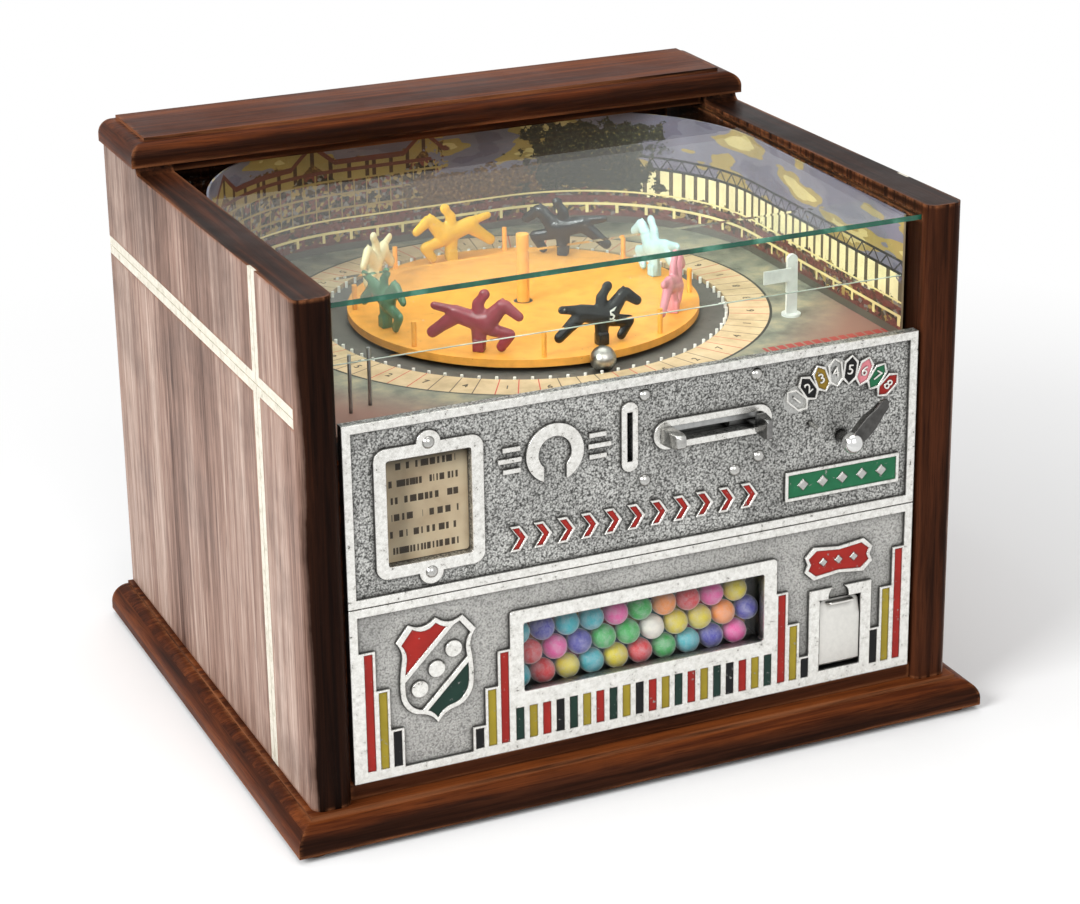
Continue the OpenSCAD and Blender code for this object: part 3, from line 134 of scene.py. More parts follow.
def blank_material(name):
    """A new material, what adds nodes to it, its shader and its Object coordinates."""
    material = bpy.data.materials.new(name)
    material.use_nodes = True
    add = partial(add_node, material.node_tree)
    shader = material.node_tree.nodes["Principled BSDF"]
    return material, add, shader, add("TexCoord", out="Object")


def ramp_stops(ramp, *stops):
    """Sets a colour ramp's stops from pairs of place and hex colour."""
    elements = ramp.node.color_ramp.elements
    while len(elements) < len(stops):
        elements.new(0.5)
    for element, (place, code) in zip(elements, stops):
        element.position = place
        element.color = linear(code)


def mottled(add, place, colour, scale, detail, rough, low, high):
    """A colour made a little uneven, and the noise that makes it so."""
    noise = add("TexNoise", {"Vector": place, "Scale": scale, "Detail": detail, "Roughness": rough})
    shade = add("MapRange", (noise, 0.3, 0.7, low, high))
    return add("HueSaturation", {"Value": shade, "Color": colour}), noise


def flaked(add, place, colour, under, scale, detail, rough, edge):
    """A colour chipped away to what is under it."""
    flake = add("TexNoise", {"Vector": place, "Scale": scale, "Detail": detail, "Roughness": rough})
    gone = add("MapRange", (flake, edge, edge + 0.02))
    return add("Mix", {0: gone, 6: colour, 7: under}, **COLOURS)


def sheltered(add, colour, dirt, reach, samples, clean, deep, most):
    """A colour darkened where the shape closes in: grime there, and painted shade in the hollows and
    against steps.
    """
    # Ambient occlusion sets how dark: the dirt colour stands for grime and painted shade together
    occlusion = add("AmbientOcclusion", {"Distance": reach}, samples=samples, out="AO")
    darkening = add("MapRange", (occlusion, clean, deep, 0.0, most))
    return add("Mix", {0: darkening, 6: colour, 7: dirt}, **COLOURS)


def plate_centre(plate):
    """The middle of one of the dial's plates."""
    turn = -(plate - 4.5) * DIAL_PITCH
    return (DIAL_X - DIAL_RADIUS * math.sin(turn), CAST_FACE, DIAL_Z + DIAL_RADIUS * math.cos(turn))


def on_plate(add, place, plate):
    """Whether a point lies on one of the dial's plates."""
    away = add("VectorMath DISTANCE", (place, plate_centre(plate)), out="Value")
    return add("Math LESS_THAN", (away, PLATE_REACH))


def clear_sheet(add, shader, tint, shadow_tint, coat, coat_rough):
    """Thin glass: its body hardly bends the light, its coat reflects, and its shadow is light."""
    feed(shader, {"Base Color": tint, "Roughness": 0.0, "IOR": 1.01, "Transmission Weight": 1.0,
                  "Coat Weight": coat, "Coat Roughness": coat_rough})
    clear = add("BsdfTransparent", {"Color": shadow_tint})
    shadow = add("LightPath", out="Is Shadow Ray")
    return add("MixShader", (shadow, shader.outputs[0], clear))


def varnished_wood(name, grain, painted_lit_tones, stained):
    """Walnut-stained hardwood under old varnish: streaks and pores, painted light on broad faces, rubbed
    edges.
    """
    material, add, shader, place = blank_material(name)
    x, y, z = add("SeparateXYZ", (place,)).node.outputs
    normal = place.node.outputs["Normal"]
    aside, _, upward = add("SeparateXYZ", (normal,)).node.outputs
    side = add("Math SIGN", (x,))
    sideways = add("Math MULTIPLY", (aside, side))
    stretch = {"X": (0.035, 1, 1), "Z": (1, 1, 0.035)}[grain]
    along = add("Mapping", {"Vector": place, "Scale": stretch})
    # The sloping top edges are capped with the grain running to the rear, and so are the base's ends
    capped = add("Mapping", {"Vector": place, "Scale": (1, 0.035, 1)})
    cap = add("Math GREATER_THAN", (upward if grain == "Z" else sideways, 0.6))
    along = add("Mix", {0: cap, 4: along, 5: capped}, data_type="VECTOR", out=1)
    # Streaks of about 5 mm and bands of about 40 mm across the grain
    streak = add("TexNoise", {"Vector": along, "Scale": 220, "Detail": 8, "Roughness": 0.66,
                              "Distortion": 0.5})
    band = add("TexNoise", {"Vector": along, "Scale": 24, "Detail": 3, "Roughness": 0.5})
    figure = add("Mix", {0: 0.45, 2: streak, 3: band}, data_type="FLOAT")
    tones = []
    # The stained tones serve as the wood in painted shade, the lighter ones as the same wood in painted
    # light
    for dark, middle, light in (stained, painted_lit_tones):
        ramp = add("ValToRGB", {"Fac": figure})
        ramp_stops(ramp, (0.36, dark), (0.5, middle), (0.63, light))
        tones.append(ramp)
    # Broad sides and the level tops take the lighter tones as painted light, in patches of about 60 mm,
    # and the edges keep the darker stained tones as painted shade
    patch = add("TexNoise", {"Vector": place, "Scale": 16, "Detail": 5, "Roughness": 0.6})
    broad = sideways
    if grain == "X":
        broad = add("Math MAXIMUM", (sideways, upward))
    ragged = add("Math MULTIPLY_ADD", (patch, 0.9, broad))
    # Upright faces go darker towards the top and the rear: painted shade
    if grain == "Z":
        back = add("Math MULTIPLY_ADD", (y, 0.3, z))
        darkening = add("MapRange", (back, 0.13, 0.29, 0.0, 0.24))
        ragged = add("Math SUBTRACT", (ragged, darkening))
    painted_lit_share = add("MapRange", (ragged, 0.95, 1.4))
    colour = add("Mix", {0: painted_lit_share, 6: tones[0], 7: tones[1]}, **COLOURS)
    # Pores of about 0.7 mm, drawn a little coarse so that they show
    pore = add("TexNoise", {"Vector": along, "Scale": 1400, "Detail": 2})
    pore_mask = add("MapRange", (pore, 0.55, 0.68, 0.0, 0.5))
    colour = add("Mix", {0: pore_mask, 6: colour, 7: "1c0d07"}, **COLOURS)
    # Edges rubbed through the stain to warm wood
    edge = add("Bevel", {"Radius": 0.0035}, samples=6)
    plain = add("NewGeometry", out="Normal")
    bend = add("VectorMath DOT_PRODUCT", (edge, plain), out="Value")
    rubbed = add("MapRange", (bend, 0.995, 0.93))
    broken = add("MapRange", (streak, 0.4, 0.6, 0.0, 0.8))
    wear = add("Math MULTIPLY", (rubbed, broken))
    colour = add("Mix", {0: wear, 6: colour, 7: "8f5a3a"}, **COLOURS)
    rough = add("MapRange", (patch, 0.3, 0.7, 0.3, 0.5))
    soft = add("Bevel", {"Radius": 0.0012}, samples=4)
    bump = add("Bump", {"Strength": 0.3, "Distance": 0.0003, "Height": pore, "Normal": soft}, invert=True)
    feed(shader, {"Base Color": colour, "Roughness": rough, "Normal": bump, "IOR": 1.5,
                  "Specular IOR Level": 0.035})
    return material


def inlay_holly():
    """Holly stringing let into the sides: cream, with dirt rubbed into its pores."""
    material, add, shader, place = blank_material("inlay_holly")
    # Dirt in spots of about 4 mm
    dirt = add("TexNoise", {"Vector": place, "Scale": 260, "Detail": 6, "Roughness": 0.7})
    ramp = add("ValToRGB", {"Fac": dirt})
    ramp_stops(ramp, (0.28, "98917c"), (0.42, "cdc7b6"), (0.7, "e2ddd0"))
    bump = add("Bump", {"Strength": 0.15, "Distance": 0.0003, "Height": dirt})
    feed(shader, {"Base Color": ramp, "Normal": bump, "Roughness": 0.45, "Specular IOR Level": 0.3})
    return material


def cast_aluminium(name, grain_size, tones, shelter_reach):
    """Sand-cast aluminium: buffed raised faces, a pebbled ground, and dark patina with painted shade
    against every step.
    """
    material, add, shader, place = blank_material(name)
    depth = add("SeparateXYZ", (place,), out="Y")
    raised = add("MapRange", (depth, CAST_FACE - 0.0002, RELIEF_FACE + 0.0003))
    # Pebbles of the ground, about 1 mm, in rounded cells
    cells = add("TexVoronoi", {"Vector": place, "Scale": 1 / grain_size, "Smoothness": 0.6},
                feature="SMOOTH_F1")
    speck = add("TexNoise", {"Vector": place, "Scale": 1.6 / grain_size, "Detail": 3})
    pebble = add("Math MULTIPLY_ADD", (cells, -0.55, speck))
    ground = add("ValToRGB", {"Fac": pebble})
    ramp_stops(ground, (0.02, tones[0]), (0.2, tones[1]), (0.42, tones[2]))
    # Stains in patches of about 40 mm
    stain = add("TexNoise", {"Vector": place, "Scale": 24, "Detail": 5, "Roughness": 0.6})
    shade = add("MapRange", (stain, 0.3, 0.6, 0.7, 1.04))
    toned = add("HueSaturation", {"Value": shade, "Color": ground})
    # Patina that the buffing wheel could not reach, with painted shade against every step
    low_tone = sheltered(add, toned, "2b2a28", shelter_reach, 8, 0.97, 0.58, 0.93)
    # The first and fourth plates of the dial are bare and wiped clean
    for plate in (1, 4):
        near = on_plate(add, place, plate)
        low_tone = add("Mix", {0: near, 6: low_tone, 7: "b4b4b1"}, **COLOURS)
    # Pits in the polish, in groups of about 2 mm
    pit = add("TexNoise", {"Vector": place, "Scale": 420, "Detail": 5, "Roughness": 0.7})
    polish = add("ValToRGB", {"Fac": pit})
    ramp_stops(polish, (0.31, "4f4d48"), (0.365, "d4d2cc"), (0.6, "ecebe6"))
    colour = add("Mix", {0: raised, 6: low_tone, 7: polish}, **COLOURS)
    rough = add("MapRange", (raised, 0.0, 1.0, 0.42, 0.27))
    low = add("Math SUBTRACT", (1.0, raised))
    lift = add("Math MULTIPLY", (pebble, low))
    edge = add("Bevel", {"Radius": 0.0006}, samples=4)
    bump = add("Bump", {"Strength": 0.7, "Distance": 0.0006, "Height": lift, "Normal": edge})
    feed(shader, {"Base Color": colour, "Roughness": rough, "Normal": bump, "Metallic": 0.9})
    return material


def plain_metal(name, code, rough, wear):
    """Turned or drawn metal: one tone with fine rubbing marks, and tarnish with painted shade where a
    cloth can't reach.
    """
    material, add, shader, place = blank_material(name)
    # Rubbing marks of about 3 mm
    tone, mark = mottled(add, place, code, 340, 6, 0.7, 1 - wear, 1.0)
    # Tarnish and painted shade in hollows and at contact edges
    colour = sheltered(add, tone, "2a2927", 0.004, 6, 0.95, 0.4, 0.9)
    spread = add("MapRange", (mark, 0.0, 1.0, rough * 0.7, rough * 1.4))
    feed(shader, {"Base Color": colour, "Roughness": spread, "Metallic": 1.0})
    return material


def chipped_paint(name, code, under, chips, rough=0.28):
    """Brushed gloss paint, chipped through to what is under it, with faint brush ridges."""
    material, add, shader, place = blank_material(name)
    # Brush ridges of about 8 mm and chips of about 3 mm
    tone, mottle = mottled(add, place, code, 130, 5, 0.6, 0.82, 1.08)
    colour = flaked(add, place, tone, under, 300, 4, 0.6, 0.74 - chips)
    bump = add("Bump", {"Strength": 0.12, "Distance": 0.0004, "Height": mottle})
    feed(shader, {"Base Color": colour, "Normal": bump, "Roughness": rough, "IOR": 1.5})
    return material


def plate_enamel(name, code, other, plate):
    """Baked enamel in the casting's pockets; one dial plate or the upper plaque has its own colour."""
    material, add, shader, place = blank_material(name)
    if plate:
        apart = on_plate(add, place, plate)
    else:
        height = add("SeparateXYZ", (place,), out="Z")
        apart = add("Math GREATER_THAN", (height, UPPER_LOW.z))
    base = add("Mix", {0: apart, 6: code, 7: other}, **COLOURS)
    # Uneven patches of about 11 mm
    tone, mottle = mottled(add, place, base, 90, 4, 0.5, 0.84, 1.1)
    # Flakes of about 3 mm gone to the metal, and soot with painted shade in the corners of the pockets
    colour = flaked(add, place, tone, "8d8c88", 380, 5, 0.65, 0.65)
    colour = sheltered(add, colour, "17130f", 0.0012, 6, 0.9, 0.4, 0.75)
    bump = add("Bump", {"Strength": 0.2, "Distance": 0.0004, "Height": mottle})
    feed(shader, {"Base Color": colour, "Normal": bump, "Roughness": 0.3, "IOR": 1.52,
                  "Specular IOR Level": 0.2})
    return material


def pane_glass(name, axis, edge, tints):
    """Sheet glass: clear, a bright face, a cut edge that shows its tint, and a faint film of dust."""
    material, add, shader, place = blank_material(name)
    passing = clear_sheet(add, shader, "f6faf8", "f6faf8", 0.3, 0.01)
    # Specks of dust, drawn at about 1 mm so that they show
    speck = add("TexNoise", {"Vector": place, "Scale": 700, "Detail": 2})
    dusty = add("MapRange", (speck, 0.72, 0.76, 0.0, 0.3))
    dust = add("BsdfDiffuse", {"Color": "d8d4ca"})
    filmed = add("MixShader", (dusty, passing, dust))
    across = add("SeparateXYZ", (place,), out=axis)
    cut = add("Math LESS_THAN", (across, edge))
    flow = add("TexNoise", {"Vector": place, "Scale": 60, "Detail": 4})
    ramp = add("ValToRGB", {"Fac": flow})
    ramp_stops(ramp, (0.35, tints[0]), (0.55, tints[1]), (0.75, tints[2]))
    green = add("BsdfPrincipled", {"Base Color": ramp, "Roughness": 0.25})
    mixed = add("MixShader", (cut, filmed, green))
    feed(material.node_tree.nodes["Material Output"], {"Surface": mixed})
    return material


def thin_glass():
    """Small flat panes over the card and the gum: thin, clear and a little bright."""
    material, add, shader, _ = blank_material("window_pane")
    passing = clear_sheet(add, shader, "fbfdfc", "fafcfb", 0.4, 0.03)
    feed(material.node_tree.nodes["Material Output"], {"Surface": passing})
    return material


def course_print():
    """Lithographed card: cream number ring with ruled divisions, grey-green ground and maroon corners."""
    material, add, shader, place = blank_material("course_print")
    x, y, _ = add("SeparateXYZ", (place,)).node.outputs
    flat = add("CombineXYZ", (x, y))
    radius = add("VectorMath LENGTH", (flat,), out="Value")
    angle = add("Math ARCTAN2", (y, x))
    step = add("Math MULTIPLY", (angle, RING_DIVISIONS / math.tau))
    share = add("Math FRACT", (step,))
    ruled = add("Math LESS_THAN", (share, 0.055))
    # Ageing in patches of about 25 mm
    age = add("TexNoise", {"Vector": place, "Scale": 40, "Detail": 6, "Roughness": 0.65})
    cream = add("ValToRGB", {"Fac": age})
    ramp_stops(cream, (0.3, "a48d69"), (0.5, "c2a983"), (0.75, "d3bd99"))
    # Every sixth division is ruled in red
    sixth = add("Math MULTIPLY", (step, 1 / 6))
    sixth_share = add("Math FRACT", (sixth,))
    red_ruled = add("Math LESS_THAN", (sixth_share, 0.5))
    ink = add("Mix", {0: red_ruled, 6: "5a4a3a", 7: "b8402e"}, **COLOURS)
    ring = add("Mix", {0: ruled, 6: cream, 7: ink}, **COLOURS)
    ground = add("ValToRGB", {"Fac": age})
    ramp_stops(ground, (0.34, "55584d"), (0.5, "7b7b6b"), (0.64, "9d9478"))
    # Maroon corners at the front, faded towards the ring
    side = add("Math ABSOLUTE", (x,))
    front = add("Math SUBTRACT", (side, y))
    corner = add("MapRange", (front, 0.19, 0.235))
    spandrel = add("Mix", {0: corner, 6: ground, 7: "8a6658"}, **COLOURS)
    # A row of red marks in the right corner
    row = add("Math COMPARE", (y, -0.112, 0.003))
    mark = add("Math FLOORED_MODULO", (x, 0.005))
    stroke = add("Math LESS_THAN", (mark, 0.0038))
    right = add("Math GREATER_THAN", (x, 0.082))
    worded = add("Math MULTIPLY", (stroke, right))
    marked = add("Math MULTIPLY", (row, worded))
    spandrel = add("Mix", {0: marked, 6: spandrel, 7: "9c3a32"}, **COLOURS)
    inside = add("Math LESS_THAN", (radius, RING_RADIUS))
    printed = add("Mix", {0: inside, 6: spandrel, 7: ring}, **COLOURS)
    line = add("Math COMPARE", (radius, RING_RADIUS + 0.0005, 0.0007))
    lined = add("Mix", {0: line, 6: printed, 7: "32322c"}, **COLOURS)
    feed(shader, {"Base Color": lined, "Roughness": 0.6})
    return material


def backdrop_print():
    """Lithographed card round the back: sky, trees, two grandstands, a crowd, a fence and a track."""
    material, add, shader, place = blank_material("backdrop_print")
    x, y, z = add("SeparateXYZ", (place,)).node.outputs
    bearing = add("Math ARCTAN2", (x, y))
    # Millimetres along the card from the middle of the rear, near enough, and above the course
    run = add("Math MULTIPLY", (bearing, BACKDROP_RADIUS))
    rise = add("Math SUBTRACT", (z, CARD_TOP))
    high = add("Math MULTIPLY", (rise, 1000.0))
    sheet = add("CombineXYZ", (run, high))
    wide = add("Mapping", {"Vector": sheet, "Scale": (0.02, 0.055, 1)})
    cloud = add("TexNoise", {"Vector": wide, "Scale": 1.0, "Detail": 3, "Roughness": 0.45})
    sky = add("ValToRGB", {"Fac": cloud})
    sky.node.color_ramp.interpolation = "CONSTANT"
    ramp_stops(sky, (0.0, "5f5c6c"), (0.44, "6c6977"), (0.53, "94804a"), (0.6, "b8a870"))
    # Edges that a brush would leave, and speckle for leaves and faces
    rough_edge = add("TexNoise", {"Vector": sheet, "Scale": 0.12, "Detail": 6, "Roughness": 0.7})
    ragged = add("Math MULTIPLY_ADD", (rough_edge, 26.0, high))
    wavering = add("Math MULTIPLY_ADD", (rough_edge, 90.0, run))
    leaf = add("TexNoise", {"Vector": sheet, "Scale": 0.5, "Detail": 4, "Roughness": 0.65})
    leaves = add("ValToRGB", {"Fac": leaf})
    ramp_stops(leaves, (0.42, "1f211b"), (0.58, "34352a"), (0.7, "7a6c3e"))
    brush = add("ValToRGB", {"Fac": leaf})
    ramp_stops(brush, (0.38, "38240f"), (0.54, "5c4022"), (0.68, "8f7038"))
    faces = add("TexVoronoi", {"Vector": sheet, "Scale": 0.5}, out="Color")
    face = add("SeparateColor", (faces,))
    crowd = add("ValToRGB", {"Fac": face})
    crowd.node.color_ramp.interpolation = "CONSTANT"
    ramp_stops(crowd, (0.0, "211b14"), (0.3, "96804a"), (0.44, "4a3c2a"), (0.66, "6a332c"),
               (0.86, "74716c"))
    # Windows between posts, and tiers of seats
    bay = add("Math FLOORED_MODULO", (run, 7.0))
    post = add("Math LESS_THAN", (bay, 2.2))
    tier = add("Math FLOORED_MODULO", (high, 8.0))
    deck = add("Math LESS_THAN", (tier, 1.2))
    windows = add("Mix", {0: post, 6: "dccf9f", 7: "5a4f3c"}, **COLOURS)
    # The far stand has thin posts before its seats, with a rail along each tier
    column = add("Math LESS_THAN", (bay, 0.7))
    frame_work = add("Math MAXIMUM", (deck, column))
    seated = add("Mix", {0: frame_work, 6: crowd, 7: "8f7b48"}, **COLOURS)
    # Gables stand on its roof every 64 mm, with dark beams on cream plaster
    slope = add("Math PINGPONG", (run, 32.0))
    panel = add("Math PINGPONG", (slope, 5.0))
    beam = add("Math LESS_THAN", (panel, 1.1))
    timber = add("Mix", {0: beam, 6: "8f7b48", 7: "3a251a"}, **COLOURS)
    peak = add("Math MULTIPLY_ADD", (slope, -0.9, 11.0))
    gable = add("Math MAXIMUM", (peak, 0.0))
    under_gable = add("Math SUBTRACT", (high, gable))
    # A lattice of struts stands on the near stand's roof
    zigzag = add("Math PINGPONG", (run, 4.0))
    strut = add("Math MULTIPLY_ADD", (zigzag, 1.6, 33.0))
    strut_off = add("Math SUBTRACT", (high, strut))
    stake = add("Math FLOORED_MODULO", (run, 15.0))
    track = add("ValToRGB", {"Fac": leaf})
    ramp_stops(track, (0.36, "4c2622"), (0.62, "744039"))
    cream, iron, roof = "d9c98c", "2a2a2c", "5c2f2a"
    # What is drawn, from far to near: a measure along with its middle and half width,
    # a measure up with its middle and half height, and a colour
    layers = (
        (wavering, -60, 110, ragged, 22, 43, brush), (wavering, 60, 120, ragged, 22, 26, brush),
        (wavering, -75, 130, high, 33, 14, seated), (wavering, -75, 130, under_gable, 46, 5, timber),
        (wavering, -75, 132, under_gable, 51, 1.5, roof), (wavering, -75, 130, high, 46, 1.0, roof),
        (wavering, 260, 110, high, 25, 8.5, windows), (wavering, 260, 110, strut_off, 0, 0.7, iron),
        (wavering, 260, 112, high, 33.4, 0.8, iron), (wavering, 260, 112, high, 40, 0.7, iron),
        (wavering, 62, 24, ragged, 26, 24, brush), (wavering, 138, 32, ragged, 20, 52, leaves),
        (run, 0, 400, ragged, 22, 9, crowd), (run, 0, 400, high, 8, 8, track),
        (run, 0, 400, ragged, 23, 3.2, crowd),
        (run, 0, 400, high, 11.0, 0.75, cream), (stake, 0.8, 0.8, high, 8.5, 2.8, cream),
        (run, 0, 400, high, 18.5, 0.5, cream), (run, 0, 400, high, 1.5, 2.6, "57544a"),
    )
    picture = sky
    for along, across, reach, upright, level, half, paint in layers:
        beside = add("Math COMPARE", (along, across, reach))
        beyond = add("Math COMPARE", (upright, level, half))
        within = add("Math MULTIPLY", (beside, beyond))
        picture = add("Mix", {0: within, 6: picture, 7: paint}, **COLOURS)
    # Only the face towards the course is printed, and the back is bare card
    normal = place.node.outputs["Normal"]
    away = add("CombineXYZ", (x, y))
    outward = add("VectorMath DOT_PRODUCT", (normal, away), out="Value")
    behind = add("Math GREATER_THAN", (outward, 0.0))
    picture = add("Mix", {0: behind, 6: picture, 7: "8a7a60"}, **COLOURS)
    # Ageing in patches of about 22 mm
    aged, _ = mottled(add, place, picture, 45, 5, 0.6, 0.82, 1.08)
    feed(shader, {"Base Color": aged, "Roughness": 0.5})
    return material


def notice_print():
    """Aged cream card, printed with rows of broken lines."""
    material, add, shader, place = blank_material("notice_print")
    x, _, z = add("SeparateXYZ", (place,)).node.outputs
    rise = add("Math SUBTRACT", (z, NOTICE_FOOT))
    row = add("Math MULTIPLY", (rise, 1 / NOTICE_ROW))
    row_share = add("Math FRACT", (row,))
    row_count = add("Math FLOOR", (row,))
    stroke = add("Math COMPARE", (row_share, 0.5, 0.2))
    mark_place = add("CombineXYZ", {0: x, 2: row_count})
    spread = add("Mapping", {"Vector": mark_place, "Scale": (640, 1, 7.3)})
    mark = add("TexNoise", {"Vector": spread, "Scale": 1.0, "Detail": 0})
    broken = add("Math GREATER_THAN", (mark, 0.46))
    within = add("Math COMPARE", (x, NOTICE_X, 0.0175))
    worded = add("Math MULTIPLY", (stroke, broken))
    inked = add("Math MULTIPLY", (worded, within))
    # Ageing in patches of about 17 mm
    age = add("TexNoise", {"Vector": place, "Scale": 60, "Detail": 6})
    paper = add("ValToRGB", {"Fac": age})
    ramp_stops(paper, (0.3, "dccab0"), (0.5, "ecdec8"), (0.7, "f4e9d6"))
    printed = add("Mix", {0: inked, 6: paper, 7: "685848"}, **COLOURS)
    feed(shader, {"Base Color": printed, "Roughness": 0.7})
    return material


def sugar_gum(name, code):
    """Sugar-panned ball gum: a clear colour with patches of sugar bloom and a frosted sheen."""
    material, add, shader, place = blank_material(name)
    # Bloom in patches of about 5 mm
    bloom = add("TexNoise", {"Vector": place, "Scale": 220, "Detail": 5, "Roughness": 0.7})
    shade = add("MapRange", (bloom, 0.4, 0.75, 0.0, 0.6))
    colour = add("Mix", {0: shade, 6: code, 7: "9d999f"}, **COLOURS)
    feed(shader, {"Base Color": colour, "Roughness": 0.4, "Sheen Weight": 0.7, "Sheen Roughness": 0.35,
                  "Specular IOR Level": 0.25, "Subsurface Weight": 0.15,
                  "Subsurface Radius": (0.002, 0.002, 0.002)})
    return material


def dress(material, *names):
    """Gives CAD nodes their finish."""
    for name in names:
        slots = NODES[name].data.materials
        slots.clear()
        slots.append(material)


def clear_choice():
    """Leaves edit mode and selects nothing."""
    if bpy.context.object and bpy.context.object.mode != "OBJECT":
        bpy.ops.object.mode_set(mode="OBJECT")
    bpy.ops.object.select_all(action="DESELECT")


def choose(*pieces):
    """Selects these pieces alone, with the first one active."""
    clear_choice()
    for piece in pieces:
        piece.select_set(True)
    bpy.context.view_layer.objects.active = pieces[0]


def settle(piece, name, body, material=None, smooth=35):
    """Names a finished piece, puts its place into its mesh and lets it ride on its body."""
    choose(piece)
    bpy.ops.object.transform_apply(location=True, rotation=True, scale=True)
    if smooth:
        bpy.ops.object.shade_smooth_by_angle(angle=math.radians(smooth))
    piece.name = name
    piece.data.name = name
    if material:
        piece.data.materials.clear()
        piece.data.materials.append(material)
    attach(piece, body)
    return piece


def join(pieces):
    """Joins several objects into the first one."""
    choose(*pieces)
    if len(pieces) > 1:
        bpy.ops.object.join()
    return pieces[0]


def apply_modifier(piece, kind, **settings):
    """Adds a modifier with its settings and applies it."""
    choose(piece)
    modifier = piece.modifiers.new(kind.lower(), kind)
    for key, value in settings.items():
        setattr(modifier, key, value)
    bpy.ops.object.modifier_apply(modifier=modifier.name)


def raised_text(words, size, depth, place, turn=0.0, stand=True):
    """A figure as a raised mesh, standing to face the front or lying on the course."""
    clear_choice()
    bpy.ops.object.text_add(location=(0, 0, 0))
    text = bpy.context.object
    text.data.body = words
    text.data.size = size
    text.data.extrude = depth / 2
    text.data.resolution_u = 4
    text.data.align_x = "CENTER"
    text.data.align_y = "CENTER"
    bpy.ops.object.convert(target="MESH")
    mesh = bpy.context.object
    bpy.ops.object.mode_set(mode="EDIT")
    bpy.ops.mesh.select_all(action="SELECT")
    bpy.ops.mesh.remove_doubles(threshold=0.000002)
    bpy.ops.object.mode_set(mode="OBJECT")
    posture = Matrix.Rotation(math.pi / 2, 4, "X") if stand else Matrix.Identity(4)
    mesh.data.transform(Matrix.Translation(place) @ posture @ Matrix.Rotation(turn, 4, "Z"))
    return mesh


def copy_of(model, pose):
    """A copy of a model with its own mesh, put into its pose."""
    piece = model.copy()
    piece.data = model.data.copy()
    bpy.context.scene.collection.objects.link(piece)
    piece.data.transform(pose)
    return piece


def place_at(piece, place, turn=0.0, axis="X"):
    """Turns a piece about its origin and moves it to its place."""
    piece.data.transform(Matrix.Translation(place) @ Matrix.Rotation(turn, 4, axis))


def bar(sections, bevel=0.0, round_sides=0):
    """A bar drawn up +Z through sections: height, half width, half depth, any shift across and along."""
    sections = [(section + (0, 0))[:5] for section in sections]
    clear_choice()
    if round_sides:
        bpy.ops.mesh.primitive_circle_add(vertices=round_sides, radius=1, fill_type="NGON")
    else:
        bpy.ops.mesh.primitive_plane_add(size=2)
    piece = bpy.context.object
    bpy.ops.object.mode_set(mode="EDIT")
    bpy.ops.mesh.select_all(action="SELECT")
    height, wide, deep, across, along = sections[0]
    bpy.ops.transform.resize(value=(wide, deep, 1), center_override=(0, 0, 0))
    bpy.ops.transform.translate(value=(across, along, height))
    for after in sections[1:]:
        step = (after[3] - across, after[4] - along, after[0] - height)
        bpy.ops.mesh.extrude_region_move(TRANSFORM_OT_translate={"value": step})
        centre = (after[3], after[4], after[0])
        bpy.ops.transform.resize(value=(after[1] / wide, after[2] / deep, 1), center_override=centre)
        height, wide, deep, across, along = after
    bpy.ops.mesh.select_all(action="SELECT")
    bpy.ops.mesh.normals_make_consistent(inside=False)
    bpy.ops.object.mode_set(mode="OBJECT")
    if bevel:
        apply_modifier(piece, "BEVEL", width=bevel, segments=3, limit_method="ANGLE")
    return piece


def limb(start, end, thick_start, thick_end):
    """A tapering round-ended bar between two points, as its three parts."""
    start, end = Vector(start), Vector(end)
    run = end - start
    clear_choice()
    bpy.ops.mesh.primitive_uv_sphere_add(segments=16, ring_count=10, radius=thick_start, location=start)
    parts = [bpy.context.object]
    bpy.ops.mesh.primitive_uv_sphere_add(segments=16, ring_count=10, radius=thick_end, location=end)
    parts.append(bpy.context.object)
    bpy.ops.mesh.primitive_cone_add(vertices=16, radius1=thick_start, radius2=thick_end, depth=run.length,
                                    location=(start + end) / 2,
                                    rotation=run.to_track_quat("Z", "Y").to_euler())
    parts.append(bpy.context.object)
    return parts


# A galloping horse and jockey on its peg, in millimetres: start, end and the two thicknesses
HORSE_LIMBS = (
    ((-12, 18.4), (-4, 16.2), 4.3, 4.6), ((-4, 16.2), (3.5, 14.8), 4.6, 5.7),
    ((5, 16), (11.4, 23.2), 4.8, 3.4), ((11.8, 24.1), (14, 24), 3.2, 3.2),
    ((14, 24), (20.6, 19.2), 3.1, 2.4), ((11.6, 25.6), (12.4, 28), 1.4, 0.7),
    ((-12, 17), (-18, 12.6), 3.9, 3.2), ((-18, 12.6), (-24.2, 7.8), 3.1, 2.8),
    ((6, 11.6), (15.8, 9.6), 3.3, 2.8), ((15.8, 9.4), (11.4, 2.9), 2.8, 2.5),
    ((-13.5, 20.2), (-22.8, 21.8), 2.5, 2.0), ((0, 14), (0, 3.4), 4.0, 3.4),
    ((0, 16), (-0.2, 24.4), 3.8, 2.9), ((-0.2, 24.4), (2.2, 28), 2.8, 2.3),
    ((3, 29.3), (3.4, 29.7), 2.7, 2.5), ((0.4, 21.4), (7, 19), 1.9, 1.6),
    ((0, 17), (3.4, 11.6), 3.0, 2.3),
)


